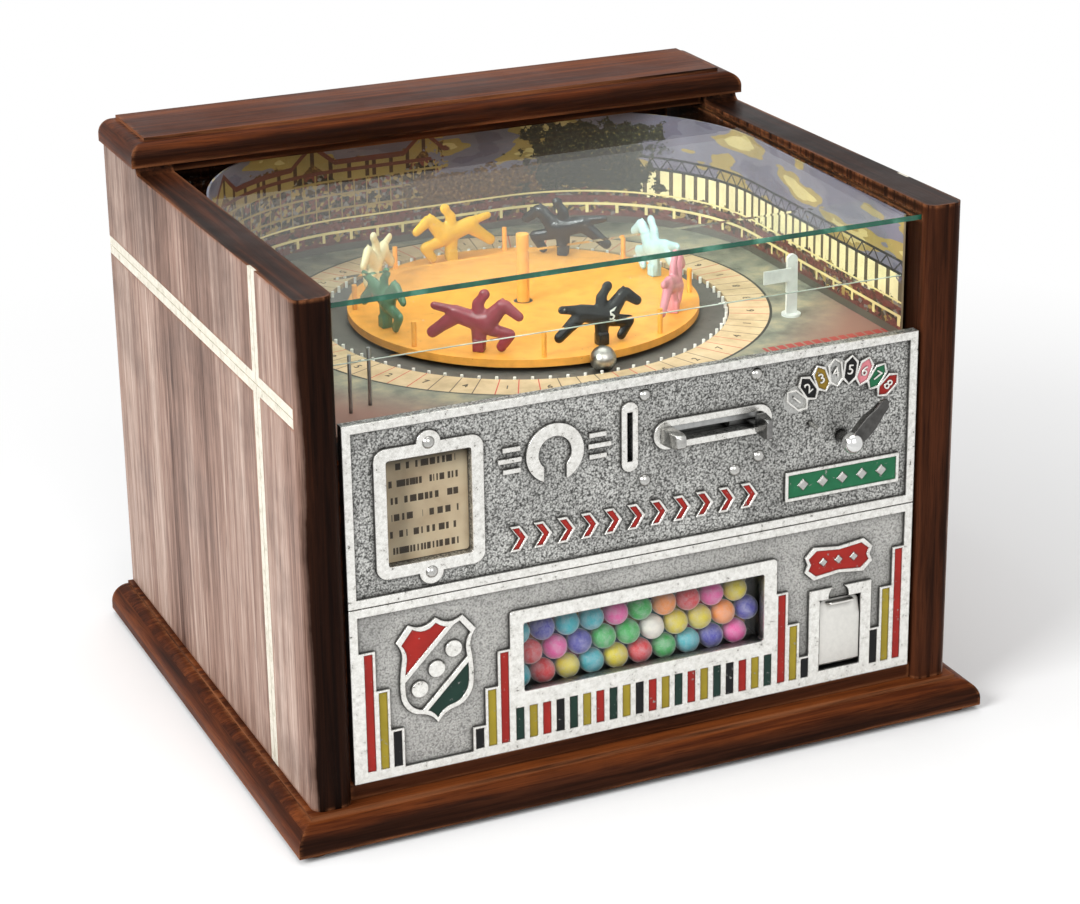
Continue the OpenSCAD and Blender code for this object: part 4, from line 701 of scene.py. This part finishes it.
def horse_model():
    """One figure, cast in the round and a little flat, standing at the origin and facing +X."""
    parts = []
    for (start_x, start_z), (end_x, end_z), thick_start, thick_end in HORSE_LIMBS:
        parts += limb((start_x / 1000, 0, start_z / 1000), (end_x / 1000, 0, end_z / 1000),
                      thick_start * HORSE_FULLNESS / 1000, thick_end * HORSE_FULLNESS / 1000)
    clear_choice()
    bpy.ops.mesh.primitive_cube_add(size=1, location=(0, 0, 0.003))
    foot = bpy.context.object
    foot.scale = (0.0058, 0.0088, 0.006)
    parts.append(foot)
    figure = join(parts)
    bpy.ops.object.transform_apply(location=True, rotation=True, scale=True)
    figure.data.transform(Matrix.Diagonal((1, 0.64, 1, 1)))
    apply_modifier(figure, "REMESH", mode="VOXEL", voxel_size=0.00045)
    apply_modifier(figure, "SMOOTH", factor=0.5, iterations=7)
    apply_modifier(figure, "DECIMATE", ratio=0.35)
    low = min(v.co.z for v in figure.data.vertices)
    figure.data.transform(Matrix.Translation((0, 0, -low)))
    return figure


class RaceGameFinish(bpy.types.PropertyGroup):
    """Colours that a restorer would change."""
    wood_dark: bpy.props.StringProperty(name="Wood, dark", description="Dark streaks of the stained wood",
                                        default="110704")
    wood_mid: bpy.props.StringProperty(name="Wood, middle", description="Body of the stained wood",
                                       default="28140b")
    wood_light: bpy.props.StringProperty(name="Wood, light", description="Light streaks of the wood",
                                         default="482616")
    orange: bpy.props.StringProperty(name="Turntable", description="Paint of the turntable",
                                     default="e9a144")


class RaceGameSizes(bpy.types.PropertyGroup):
    """Sizes of the dressing."""
    figure_size: bpy.props.FloatProperty(name="Dial figures", description="Height of the dial's numbers",
                                         default=0.0074, unit="LENGTH")
    figure_depth: bpy.props.FloatProperty(name="Figure relief",
                                          description="Height of raised numbers over their plate",
                                          default=0.0007, unit="LENGTH")
    gum_radius: bpy.props.FloatProperty(name="Gum radius", description="Radius of a ball of gum",
                                        default=0.0065, unit="LENGTH")


class DressWoodwork(bpy.types.Operator):
    """Finishes the cabinet's wood and its pale inlay"""
    bl_idname = "racegame.woodwork"
    bl_label = "Woodwork"

    def execute(self, context):
        finish = context.scene.race_game_finish
        stained = (finish.wood_dark, finish.wood_mid, finish.wood_light)
        # The first tones are the same wood painted lighter: painted light on faces turned to the sides
        # and up
        upright = varnished_wood("varnished_wood_upright", "Z", ("523a31", "967a6d", "c2ac9f"), stained)
        level = varnished_wood("varnished_wood_level", "X", ("240f06", "4b2310", "743c1b"), stained)
        dress(upright, "side_panel_left", "side_panel_right", "rear_door")
        dress(level, "base_board", "base_feet", "front_rail", "top_rail", "header_board", "battens")
        dress(inlay_holly(), "side_inlays")
        return {"FINISHED"}


class DressCastings(bpy.types.Operator):
    """Finishes the cast front, its enamel, panes and card, and sets the dial's raised figures"""
    bl_idname = "racegame.castings"
    bl_label = "Castings"

    def execute(self, context):
        sizes = context.scene.race_game_sizes
        upper = cast_aluminium("cast_aluminium_pebbled", 0.0012, ("4c4c4a", "939390", "d2d2ce"), 0.0032)
        lower = cast_aluminium("cast_aluminium_hammered", 0.0011, ("8b8a87", "adaca8", "c3c2be"), 0.006)
        bright = plain_metal("polished_aluminium", "c2c1bd", 0.2, 0.25)
        dress(upper, "upper_front_panel")
        dress(lower, "lower_front_panel")
        dress(bright, "panel_rivets")
        dress(plate_enamel("red_enamel", "9e2119", "d9848c", 6), "enamel_red")
        dress(plate_enamel("yellow_enamel", "9f8c27", "8f7322", 3), "enamel_yellow")
        dress(plate_enamel("black_enamel", "0d0e10", "101010", 5), "enamel_black")
        dress(plate_enamel("green_enamel", "16332a", "1f6a45", 0), "enamel_green")
        dress(thin_glass(), "panel_panes")
        dress(notice_print(), "instruction_card")
        figures = []
        for number in range(1, 9):
            turn = -(number - 4.5) * DIAL_PITCH
            place = Vector(plate_centre(number)) - Vector((0, 0.0009, 0))
            figures.append(raised_text(str(number), sizes.figure_size, sizes.figure_depth * 2, place,
                                       turn))
        settle(join(figures), "dial_figures", "cabinet",
               plain_metal("white_metal_figures", "eceae4", 0.4, 0.12), smooth=0)
        self.plaque_studs(bright)
        return {"FINISHED"}

    def plaque_studs(self, metal):
        """Raised lozenges on the green plaque and the red one."""
        model = bar(((0, 0.0035, 0.0035), (0.0008, 0.0033, 0.0033), (0.0014, 0.0024, 0.0024)),
                    round_sides=4, bevel=0.0002)
        place_at(model, (0, 0, 0), math.pi / 2)
        studs = []
        for middle, height, beside, pitch, size in PLAQUES:
            for k in range(-beside, beside + 1):
                spot = Matrix.Translation((middle + pitch * k, CAST_FACE - 0.0003, height))
                studs.append(copy_of(model, spot @ Matrix.Diagonal((size, 1, size, 1))))
        bpy.data.objects.remove(model)
        settle(join(studs), "plaque_studs", "cabinet", metal, smooth=0)


class DressWorks(bpy.types.Operator):
    """Finishes the drive, bearings, coin and gum works inside the cabinet"""
    bl_idname = "racegame.works"
    bl_label = "Works"

    def execute(self, context):
        steel = plain_metal("drawn_steel", "b4b5b4", 0.32, 0.3)
        dress(steel, "spindle", "idler_shaft", "hinge_pins", "door_lock", "gate_wires", "return_spring",
              "drive_pawl", "rack_guide", "lever_rack")
        dress(chipped_paint("silver_paint", "c9cbc6", "77766f", 0.03, 0.3), "finish_post")
        dress(plain_metal("ball_steel", "c9c6bd", 0.3, 0.5), "ball")
        # The pins are painted white to stand for the highlights on their heads: a painted highlight
        dress(chipped_paint("pin_paint_white_as_painted_highlight", "efece4", "b9b5aa", 0.0, 0.3), "track_pins")
        dress(plain_metal("pin_metal", "dddcd8", 0.25, 0.15), "gum_wheel")
        dress(plain_metal("dull_tinplate", "8f9090", 0.42, 0.35), "gum_hopper", "gum_cup", "coin_chute",
              "coin_box", "mechanism_plate")
        dress(plain_metal("cut_brass", "b99352", 0.3, 0.3), "idler_gear", "spindle_pinion",
              "shaft_bushes")
        return {"FINISHED"}


class DressCourse(bpy.types.Operator):
    """Finishes the board, the printed course, the backdrop, the turntable and the glass"""
    bl_idname = "racegame.course"
    bl_label = "Course and glass"

    def execute(self, context):
        finish = context.scene.race_game_finish
        orange = chipped_paint("orange_paint", finish.orange, "a8793c", 0.05, 0.4)
        dress(chipped_paint("board_paint", "5d5a53", "3f3c36", 0.06, 0.6), "playfield_board")
        dress(course_print(), "playfield_card")
        dress(backdrop_print(), "backdrop")
        dress(orange, "turntable", "turntable_posts")
        sheet = pane_glass("sheet_glass", "Y", GLASS_LOW.y + 0.0004, ("123d30", "1f5c47", "5f9a84"))
        strip_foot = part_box("inner_glass")[0].z
        strip = pane_glass("strip_glass", "Z", strip_foot + 0.0005, ("8fa095", "a9b5a8", "d5dcd4"))
        dress(sheet, "top_glass")
        dress(strip, "inner_glass")
        numbers = []
        for step in range(RING_NUMBERS):
            angle = math.tau * (step + 0.25) / RING_NUMBERS
            place = (RING_NUMBER_RADIUS * math.cos(angle), RING_NUMBER_RADIUS * math.sin(angle),
                     CARD_TOP + 0.00005)
            numbers.append(raised_text(str(step * 5 % 8 + 1), 0.006, 0.0002, place, angle + math.pi / 2,
                                       stand=False))
        settle(join(numbers), "ring_numbers", "cabinet",
               chipped_paint("printing_ink", "4a3f33", "7a6a52", 0.05, 0.6), smooth=0)
        return {"FINISHED"}


class MakeHorses(bpy.types.Operator):
    """Models one horse and jockey, and sets eight painted copies on the turntable"""
    bl_idname = "racegame.horses"
    bl_label = "Horses"

    def execute(self, context):
        paints = {1: ("cream", "d9cfa4", "b3a784"), 2: ("black", "1b1c1b", "8d8b84"),
                  3: ("yellow", "d3a41c", "8f7322"), 4: ("pale_blue", "aecdd0", "7d9a9c"),
                  5: ("black", "1b1c1b", "9a978f"), 6: ("pink", "d98f97", "5a4a48"),
                  7: ("sage_green", "4d7355", "2f4a38"), 8: ("maroon", "83343c", "a49a94")}
        model = horse_model()
        for place, number in enumerate(HORSE_ORDER):
            slot, code, under = paints[number]
            angle = HORSE_START + place * math.pi / 4
            stand = Matrix.Translation((HORSE_RADIUS * math.cos(angle), HORSE_RADIUS * math.sin(angle),
                                        DISC_TOP))
            pose = stand @ Matrix.Rotation(angle + math.pi / 2, 4, "Z")
            horse = copy_of(model, pose)
            paint = chipped_paint(slot + "_paint_" + str(number), code, under, 0.04, 0.25)
            settle(horse, "horse_and_jockey_" + str(number), "turntable", paint,
                   smooth=60)
            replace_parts(horse, "horse_" + str(number))
            if slot == "black":
                self.paint_number(horse, number, pose)
        bpy.data.objects.remove(model)
        return {"FINISHED"}

    def paint_number(self, horse, number, pose):
        """A number brushed on the outer flank, wrapped on to the figure."""
        figure = raised_text(str(number), 0.0135, 0.0, (0.0042, -0.012, 0.0160))
        figure.data.transform(pose)
        apply_modifier(figure, "SHRINKWRAP", target=horse, offset=0.0002,
                       wrap_method="NEAREST_SURFACEPOINT")
        apply_modifier(figure, "SOLIDIFY", thickness=0.0003, offset=0.0)
        settle(figure, "flank_number_" + str(number), "turntable",
               chipped_paint("white_brushed_paint_" + str(number), "d8d6cc", "4a4a48", 0.06, 0.4),
               smooth=0)


class MakeGum(bpy.types.Operator):
    """Fills the hopper with balls of gum in mixed colours"""
    bl_idname = "racegame.gum"
    bl_label = "Ball gum"

    def execute(self, context):
        radius = context.scene.race_game_sizes.gum_radius
        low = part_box("gum_balls")[0]
        colours = ("2f8a95", "3d3985", "b0292f", "2d8c42", "b3a128", "bd4784", "c9783a", "c4bdb4")
        order = (0, 1, 0, 0, 5, 3, 6, 2, 5, 4, 2, 5, 1, 3, 3, 7, 4, 4, 6, 1, 0, 2, 4, 0, 4, 2, 3, 0, 1, 5)
        paints = [sugar_gum("gum_" + str(k), code) for k, code in enumerate(colours)]
        pitch = radius * 2 + 0.0003
        model = self.ball_model(radius)
        balls = []
        for layer in range(2):
            for row in range(3):
                for k in range(10):
                    shift = 0.5 * ((row + layer) % 2)
                    place = (low.x + radius + (k + shift) * pitch, low.y + radius + layer * pitch,
                             low.z + radius + row * pitch * 0.88)
                    turn = Matrix.Rotation(2.4 * k + row, 4, "Z")
                    roll = Matrix.Rotation(1.7 * k + layer, 4, "X")
                    ball = copy_of(model, Matrix.Translation(place) @ (turn @ roll))
                    pick = order[(k + 10 * (2 - row) + 7 * layer) % len(order)]
                    ball.data.materials.append(paints[pick])
                    balls.append(ball)
        bpy.data.objects.remove(model)
        pile = settle(join(balls), "gum_pile", "cabinet", smooth=60)
        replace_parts(pile, "gum_balls")
        return {"FINISHED"}

    def ball_model(self, radius):
        """One panned ball: nearly round, with the low swells that its sugar coats leave."""
        clear_choice()
        bpy.ops.mesh.primitive_uv_sphere_add(segments=24, ring_count=14, radius=radius * 0.985)
        ball = bpy.context.object
        swell = bpy.data.textures.new("panned_skin", "CLOUDS")
        swell.noise_scale = radius * 0.8
        apply_modifier(ball, "DISPLACE", texture=swell, strength=radius * 0.05, mid_level=0.5)
        return ball


class MakeControls(bpy.types.Operator):
    """Models the pointer, the play lever, the fixed finger and the gum door"""
    bl_idname = "racegame.controls"
    bl_label = "Controls"

    def execute(self, context):
        steel = plain_metal("bright_steel", "c2c1bd", 0.2, 0.35)
        dark = plain_metal("worn_steel", "8a8987", 0.2, 0.45)
        door_metal = plain_metal("rolled_aluminium", "e2e0da", 0.36, 0.12)
        # The pointer's arm gets a dark steel colour: a painted reflection of dark surroundings in its
        # polish
        self.make_pointer(plain_metal("polished_chrome", "dcdcda", 0.07, 0.1),
                          plain_metal("steel_with_painted_dark_reflection", "5e5d5b", 0.14, 0.45))
        self.make_finger(steel)
        self.make_lever(dark)
        self.make_door(door_metal)
        return {"FINISHED"}

    def make_pointer(self, chrome, metal):
        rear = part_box("pointer")[1].y
        ball_y = CAST_FACE - 0.012
        radius = 0.0054
        clear_choice()
        bpy.ops.mesh.primitive_uv_sphere_add(segments=40, ring_count=24, radius=radius,
                                             location=(DIAL_X, ball_y, DIAL_Z))
        ball = bpy.context.object
        apply_modifier(ball, "SMOOTH", factor=0.3, iterations=1)
        ball.data.materials.append(chrome)
        # The turned stem through the panel and its collar behind it
        stem = bar(((0, 0.003, 0.003), (0.0163, 0.003, 0.003), (0.0163, 0.0055, 0.0055),
                    (0.0213, 0.0055, 0.0055), (0.0213, 0.003, 0.003), (rear - ball_y, 0.003, 0.003)),
                   round_sides=32)
        place_at(stem, (DIAL_X, ball_y, DIAL_Z), -math.pi / 2)
        # A tapering arm with a stepped tip, leaning a little to the panel
        arm = bar(((0, 0.0034, 0.0019), (0.007, 0.0043, 0.0022), (0.0135, 0.0044, 0.0022),
                   (0.0205, 0.0031, 0.0019), (0.0258, 0.0028, 0.0015), (0.0264, 0.0019, 0.0012),
                   (0.0279, 0.0013, 0.0009)), bevel=0.0008)
        place_at(arm, (0, 0, 0), math.radians(-4))
        place_at(arm, (DIAL_X, ball_y + 0.0002, DIAL_Z), 3.5 * DIAL_PITCH, "Y")
        for part in (stem, arm):
            part.data.materials.append(metal)
        piece = settle(join([ball, stem, arm]), "dial_pointer", "pointer")
        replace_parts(piece, "pointer")

    def make_finger(self, metal):
        low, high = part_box("finger_post")
        middle = (low.z + high.z) / 2
        half = (high.z - low.z) / 2
        inner = low.x + 0.0033
        piece = bar(((0, 0.0032, half), (0.0052, 0.0032, half), (0.0085, 0.0031, half * 0.98, 0.0004, 0),
                     (0.0125, 0.0030, half * 0.95, 0.0011, 0), (0.0160, 0.0028, half * 0.88, 0.0019, 0),
                     (0.0183, 0.0022, half * 0.68, 0.0024, 0), (0.0190, 0.0011, half * 0.36, 0.0026, 0)),
                    bevel=0.0009)
        place_at(piece, (inner, high.y, middle), math.pi / 2)
        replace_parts(settle(piece, "slot_finger", "cabinet", metal, smooth=50),
                    "finger_post")

    def make_lever(self, metal):
        low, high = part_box("play_lever")
        middle = (low.x + high.x) / 2
        half = (high.x - low.x) / 2
        length = high.y - low.y
        shank = LEVER_SLOT_Z - 0.00235
        blade_start = high.y - (RELIEF_FACE - 0.002)
        piece = bar(((0, half, 0.0011), (blade_start, half, 0.0011),
                     (blade_start + 0.0012, half * 0.96, 0.0048, 0, 0.0019),
                     (blade_start + 0.004, half * 0.96, 0.0054, 0, 0.0022),
                     (length - 0.003, half * 0.86, 0.0053, 0, 0.0015),
                     (length - 0.0006, half * 0.7, 0.0046, 0, 0.0014),
                     (length, half * 0.45, 0.0036, 0, 0.0014)), bevel=0.0005)
        place_at(piece, (middle, high.y, shank), math.pi / 2)
        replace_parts(settle(piece, "lever_blade", "lever", metal, smooth=40), "play_lever")

    def make_door(self, metal):
        low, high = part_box("gum_door")
        width = (high.x - low.x) / 2
        middle = (low.x + high.x) / 2
        face_y = CAST_FACE + 0.0002
        foot = low.z + 0.0025
        rise = high.z - foot
        # The flat plate, creased a quarter down and leaning in above that
        plate = bar(((0, width, 0.0011), (rise * 0.7, width, 0.0011),
                     (rise * 0.74, width, 0.0011, 0, 0.0004),
                     (rise * 0.93, width * 0.98, 0.0010, 0, 0.0013),
                     (rise * 0.985, width * 0.8, 0.0009, 0, 0.0016)), bevel=0.0003)
        place_at(plate, (middle, face_y, foot))
        # The finger lip along its top, and the barrel that its pin passes through
        lip = bar(((0, width * 0.66, 0.0007), (0.0022, width * 0.64, 0.0007, 0, 0.0001),
                   (0.0040, width * 0.55, 0.0005, 0, 0.0005)), bevel=0.0003)
        place_at(lip, (middle, face_y, high.z - 0.0021), math.pi / 2)
        barrel = bar(((-width, 0.003, 0.003), (width, 0.003, 0.003)), round_sides=28, bevel=0.0003)
        place_at(barrel, (middle, CAST_FACE + 0.003, low.z + 0.003), math.pi / 2, "Y")
        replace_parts(settle(join([plate, lip, barrel]), "gum_flap", "gum_door", metal,
                           smooth=30), "gum_door")


class SetStage(bpy.types.Operator):
    """Sets the pale floor, the studio light and the camera"""
    bl_idname = "racegame.stage"
    bl_label = "Stage"

    def execute(self, context):
        scene = context.scene
        clear_choice()
        bpy.ops.mesh.primitive_plane_add(size=8, location=(0, 0, 0))
        floor = context.object
        floor.name = "floor"
        material, add, shader, place = blank_material("studio_floor")
        feed(shader, {"Base Color": "f4f4f4", "Roughness": 0.9})
        # Away from the shadow the floor runs into the white behind
        away = add("VectorMath LENGTH", (place,), out="Value")
        far = add("MapRange", (away, 0.3, 0.75))
        whitened = add("Math MULTIPLY", (far, self.seen_rays(add)))
        white = add("Emission", {"Color": (1, 1, 1, 1), "Strength": 1.0})
        mixed = add("MixShader", (whitened, shader.outputs[0], white))
        feed(material.node_tree.nodes["Material Output"], {"Surface": mixed})
        floor.data.materials.append(material)
        world = bpy.data.worlds.new("studio")
        scene.world = world
        world.use_nodes = True
        add = partial(add_node, world.node_tree)
        light = add("MapRange", (self.seen_rays(add), 0.0, 1.0, 0.42, 1.0))
        feed(world.node_tree.nodes["Background"], {"Color": (1, 1, 1, 1), "Strength": light})
        lamps = (("key", (-2.1, -0.8, 1.4), 1.2, 54), ("front", (-0.2, -1.9, 1.5), 1.4, 14),
                 ("top", (0.0, 0.3, 2.1), 1.6, 15))
        for name, place, size, power in lamps:
            lamp = bpy.data.lights.new(name, "AREA")
            lamp.size = size
            lamp.energy = power
            holder = bpy.data.objects.new(name, lamp)
            scene.collection.objects.link(holder)
            holder.location = place
            aim = Vector(LAMP_TARGET) - Vector(place)
            holder.rotation_euler = aim.to_track_quat("-Z", "Y").to_euler()
        self.set_camera(scene)
        scene.view_settings.view_transform = "Standard"
        return {"FINISHED"}

    def seen_rays(self, add):
        """The rays that show the white behind: the camera's, and those that metal and glass send on."""
        rays = add("LightPath").node.outputs
        seen = rays["Is Camera Ray"]
        for other in ("Is Glossy Ray", "Is Transmission Ray"):
            seen = add("Math MAXIMUM", (seen, rays[other]))
        return seen

    def set_camera(self, scene):
        azimuth, elevation, roll = (math.radians(turn) for turn in CAMERA_TURNS)
        back = Vector((math.sin(azimuth) * math.cos(elevation), -math.cos(azimuth) * math.cos(elevation),
                       math.sin(elevation)))
        right = Vector((math.cos(azimuth), math.sin(azimuth), 0))
        up = back.cross(right)
        camera_right = math.cos(roll) * right + math.sin(roll) * up
        camera_up = math.cos(roll) * up - math.sin(roll) * right
        camera = bpy.data.cameras.new("camera")
        camera.sensor_width = SENSOR_WIDTH
        camera.lens = SENSOR_WIDTH * FOCAL_PIXELS / PHOTO_PIXELS
        camera.shift_x, camera.shift_y = CAMERA_SHIFT
        camera.clip_start = 0.05
        holder = bpy.data.objects.new("camera", camera)
        scene.collection.objects.link(holder)
        pose = Matrix((camera_right, camera_up, back)).transposed().to_4x4()
        pose.translation = Vector(CAMERA_PLACE)
        holder.matrix_world = pose
        scene.camera = holder


class RaceGamePanel(bpy.types.Panel):
    """Lists the steps that dress the game"""
    bl_idname = "VIEW3D_PT_race_game"
    bl_label = "Race game"
    bl_space_type = "VIEW_3D"
    bl_region_type = "UI"
    bl_category = "Race game"

    def draw(self, context):
        for step in STEPS:
            self.layout.operator(step.bl_idname)


STEPS = (DressWoodwork, DressCastings, DressWorks, DressCourse, MakeHorses, MakeGum, MakeControls,
         SetStage)
CLASSES = (RaceGameFinish, RaceGameSizes) + STEPS + (RaceGamePanel,)


def register():
    for item in CLASSES:
        bpy.utils.register_class(item)
    bpy.types.Scene.race_game_finish = bpy.props.PointerProperty(type=RaceGameFinish)
    bpy.types.Scene.race_game_sizes = bpy.props.PointerProperty(type=RaceGameSizes)


def unregister():
    del bpy.types.Scene.race_game_sizes
    del bpy.types.Scene.race_game_finish
    for item in reversed(CLASSES):
        bpy.utils.unregister_class(item)


def main():
    register()
    bpy.ops.racegame.woodwork()
    bpy.ops.racegame.castings()
    bpy.ops.racegame.works()
    bpy.ops.racegame.course()
    bpy.ops.racegame.horses()
    bpy.ops.racegame.gum()
    bpy.ops.racegame.controls()
    bpy.ops.racegame.stage()


if __name__ == "__main__":
    main()
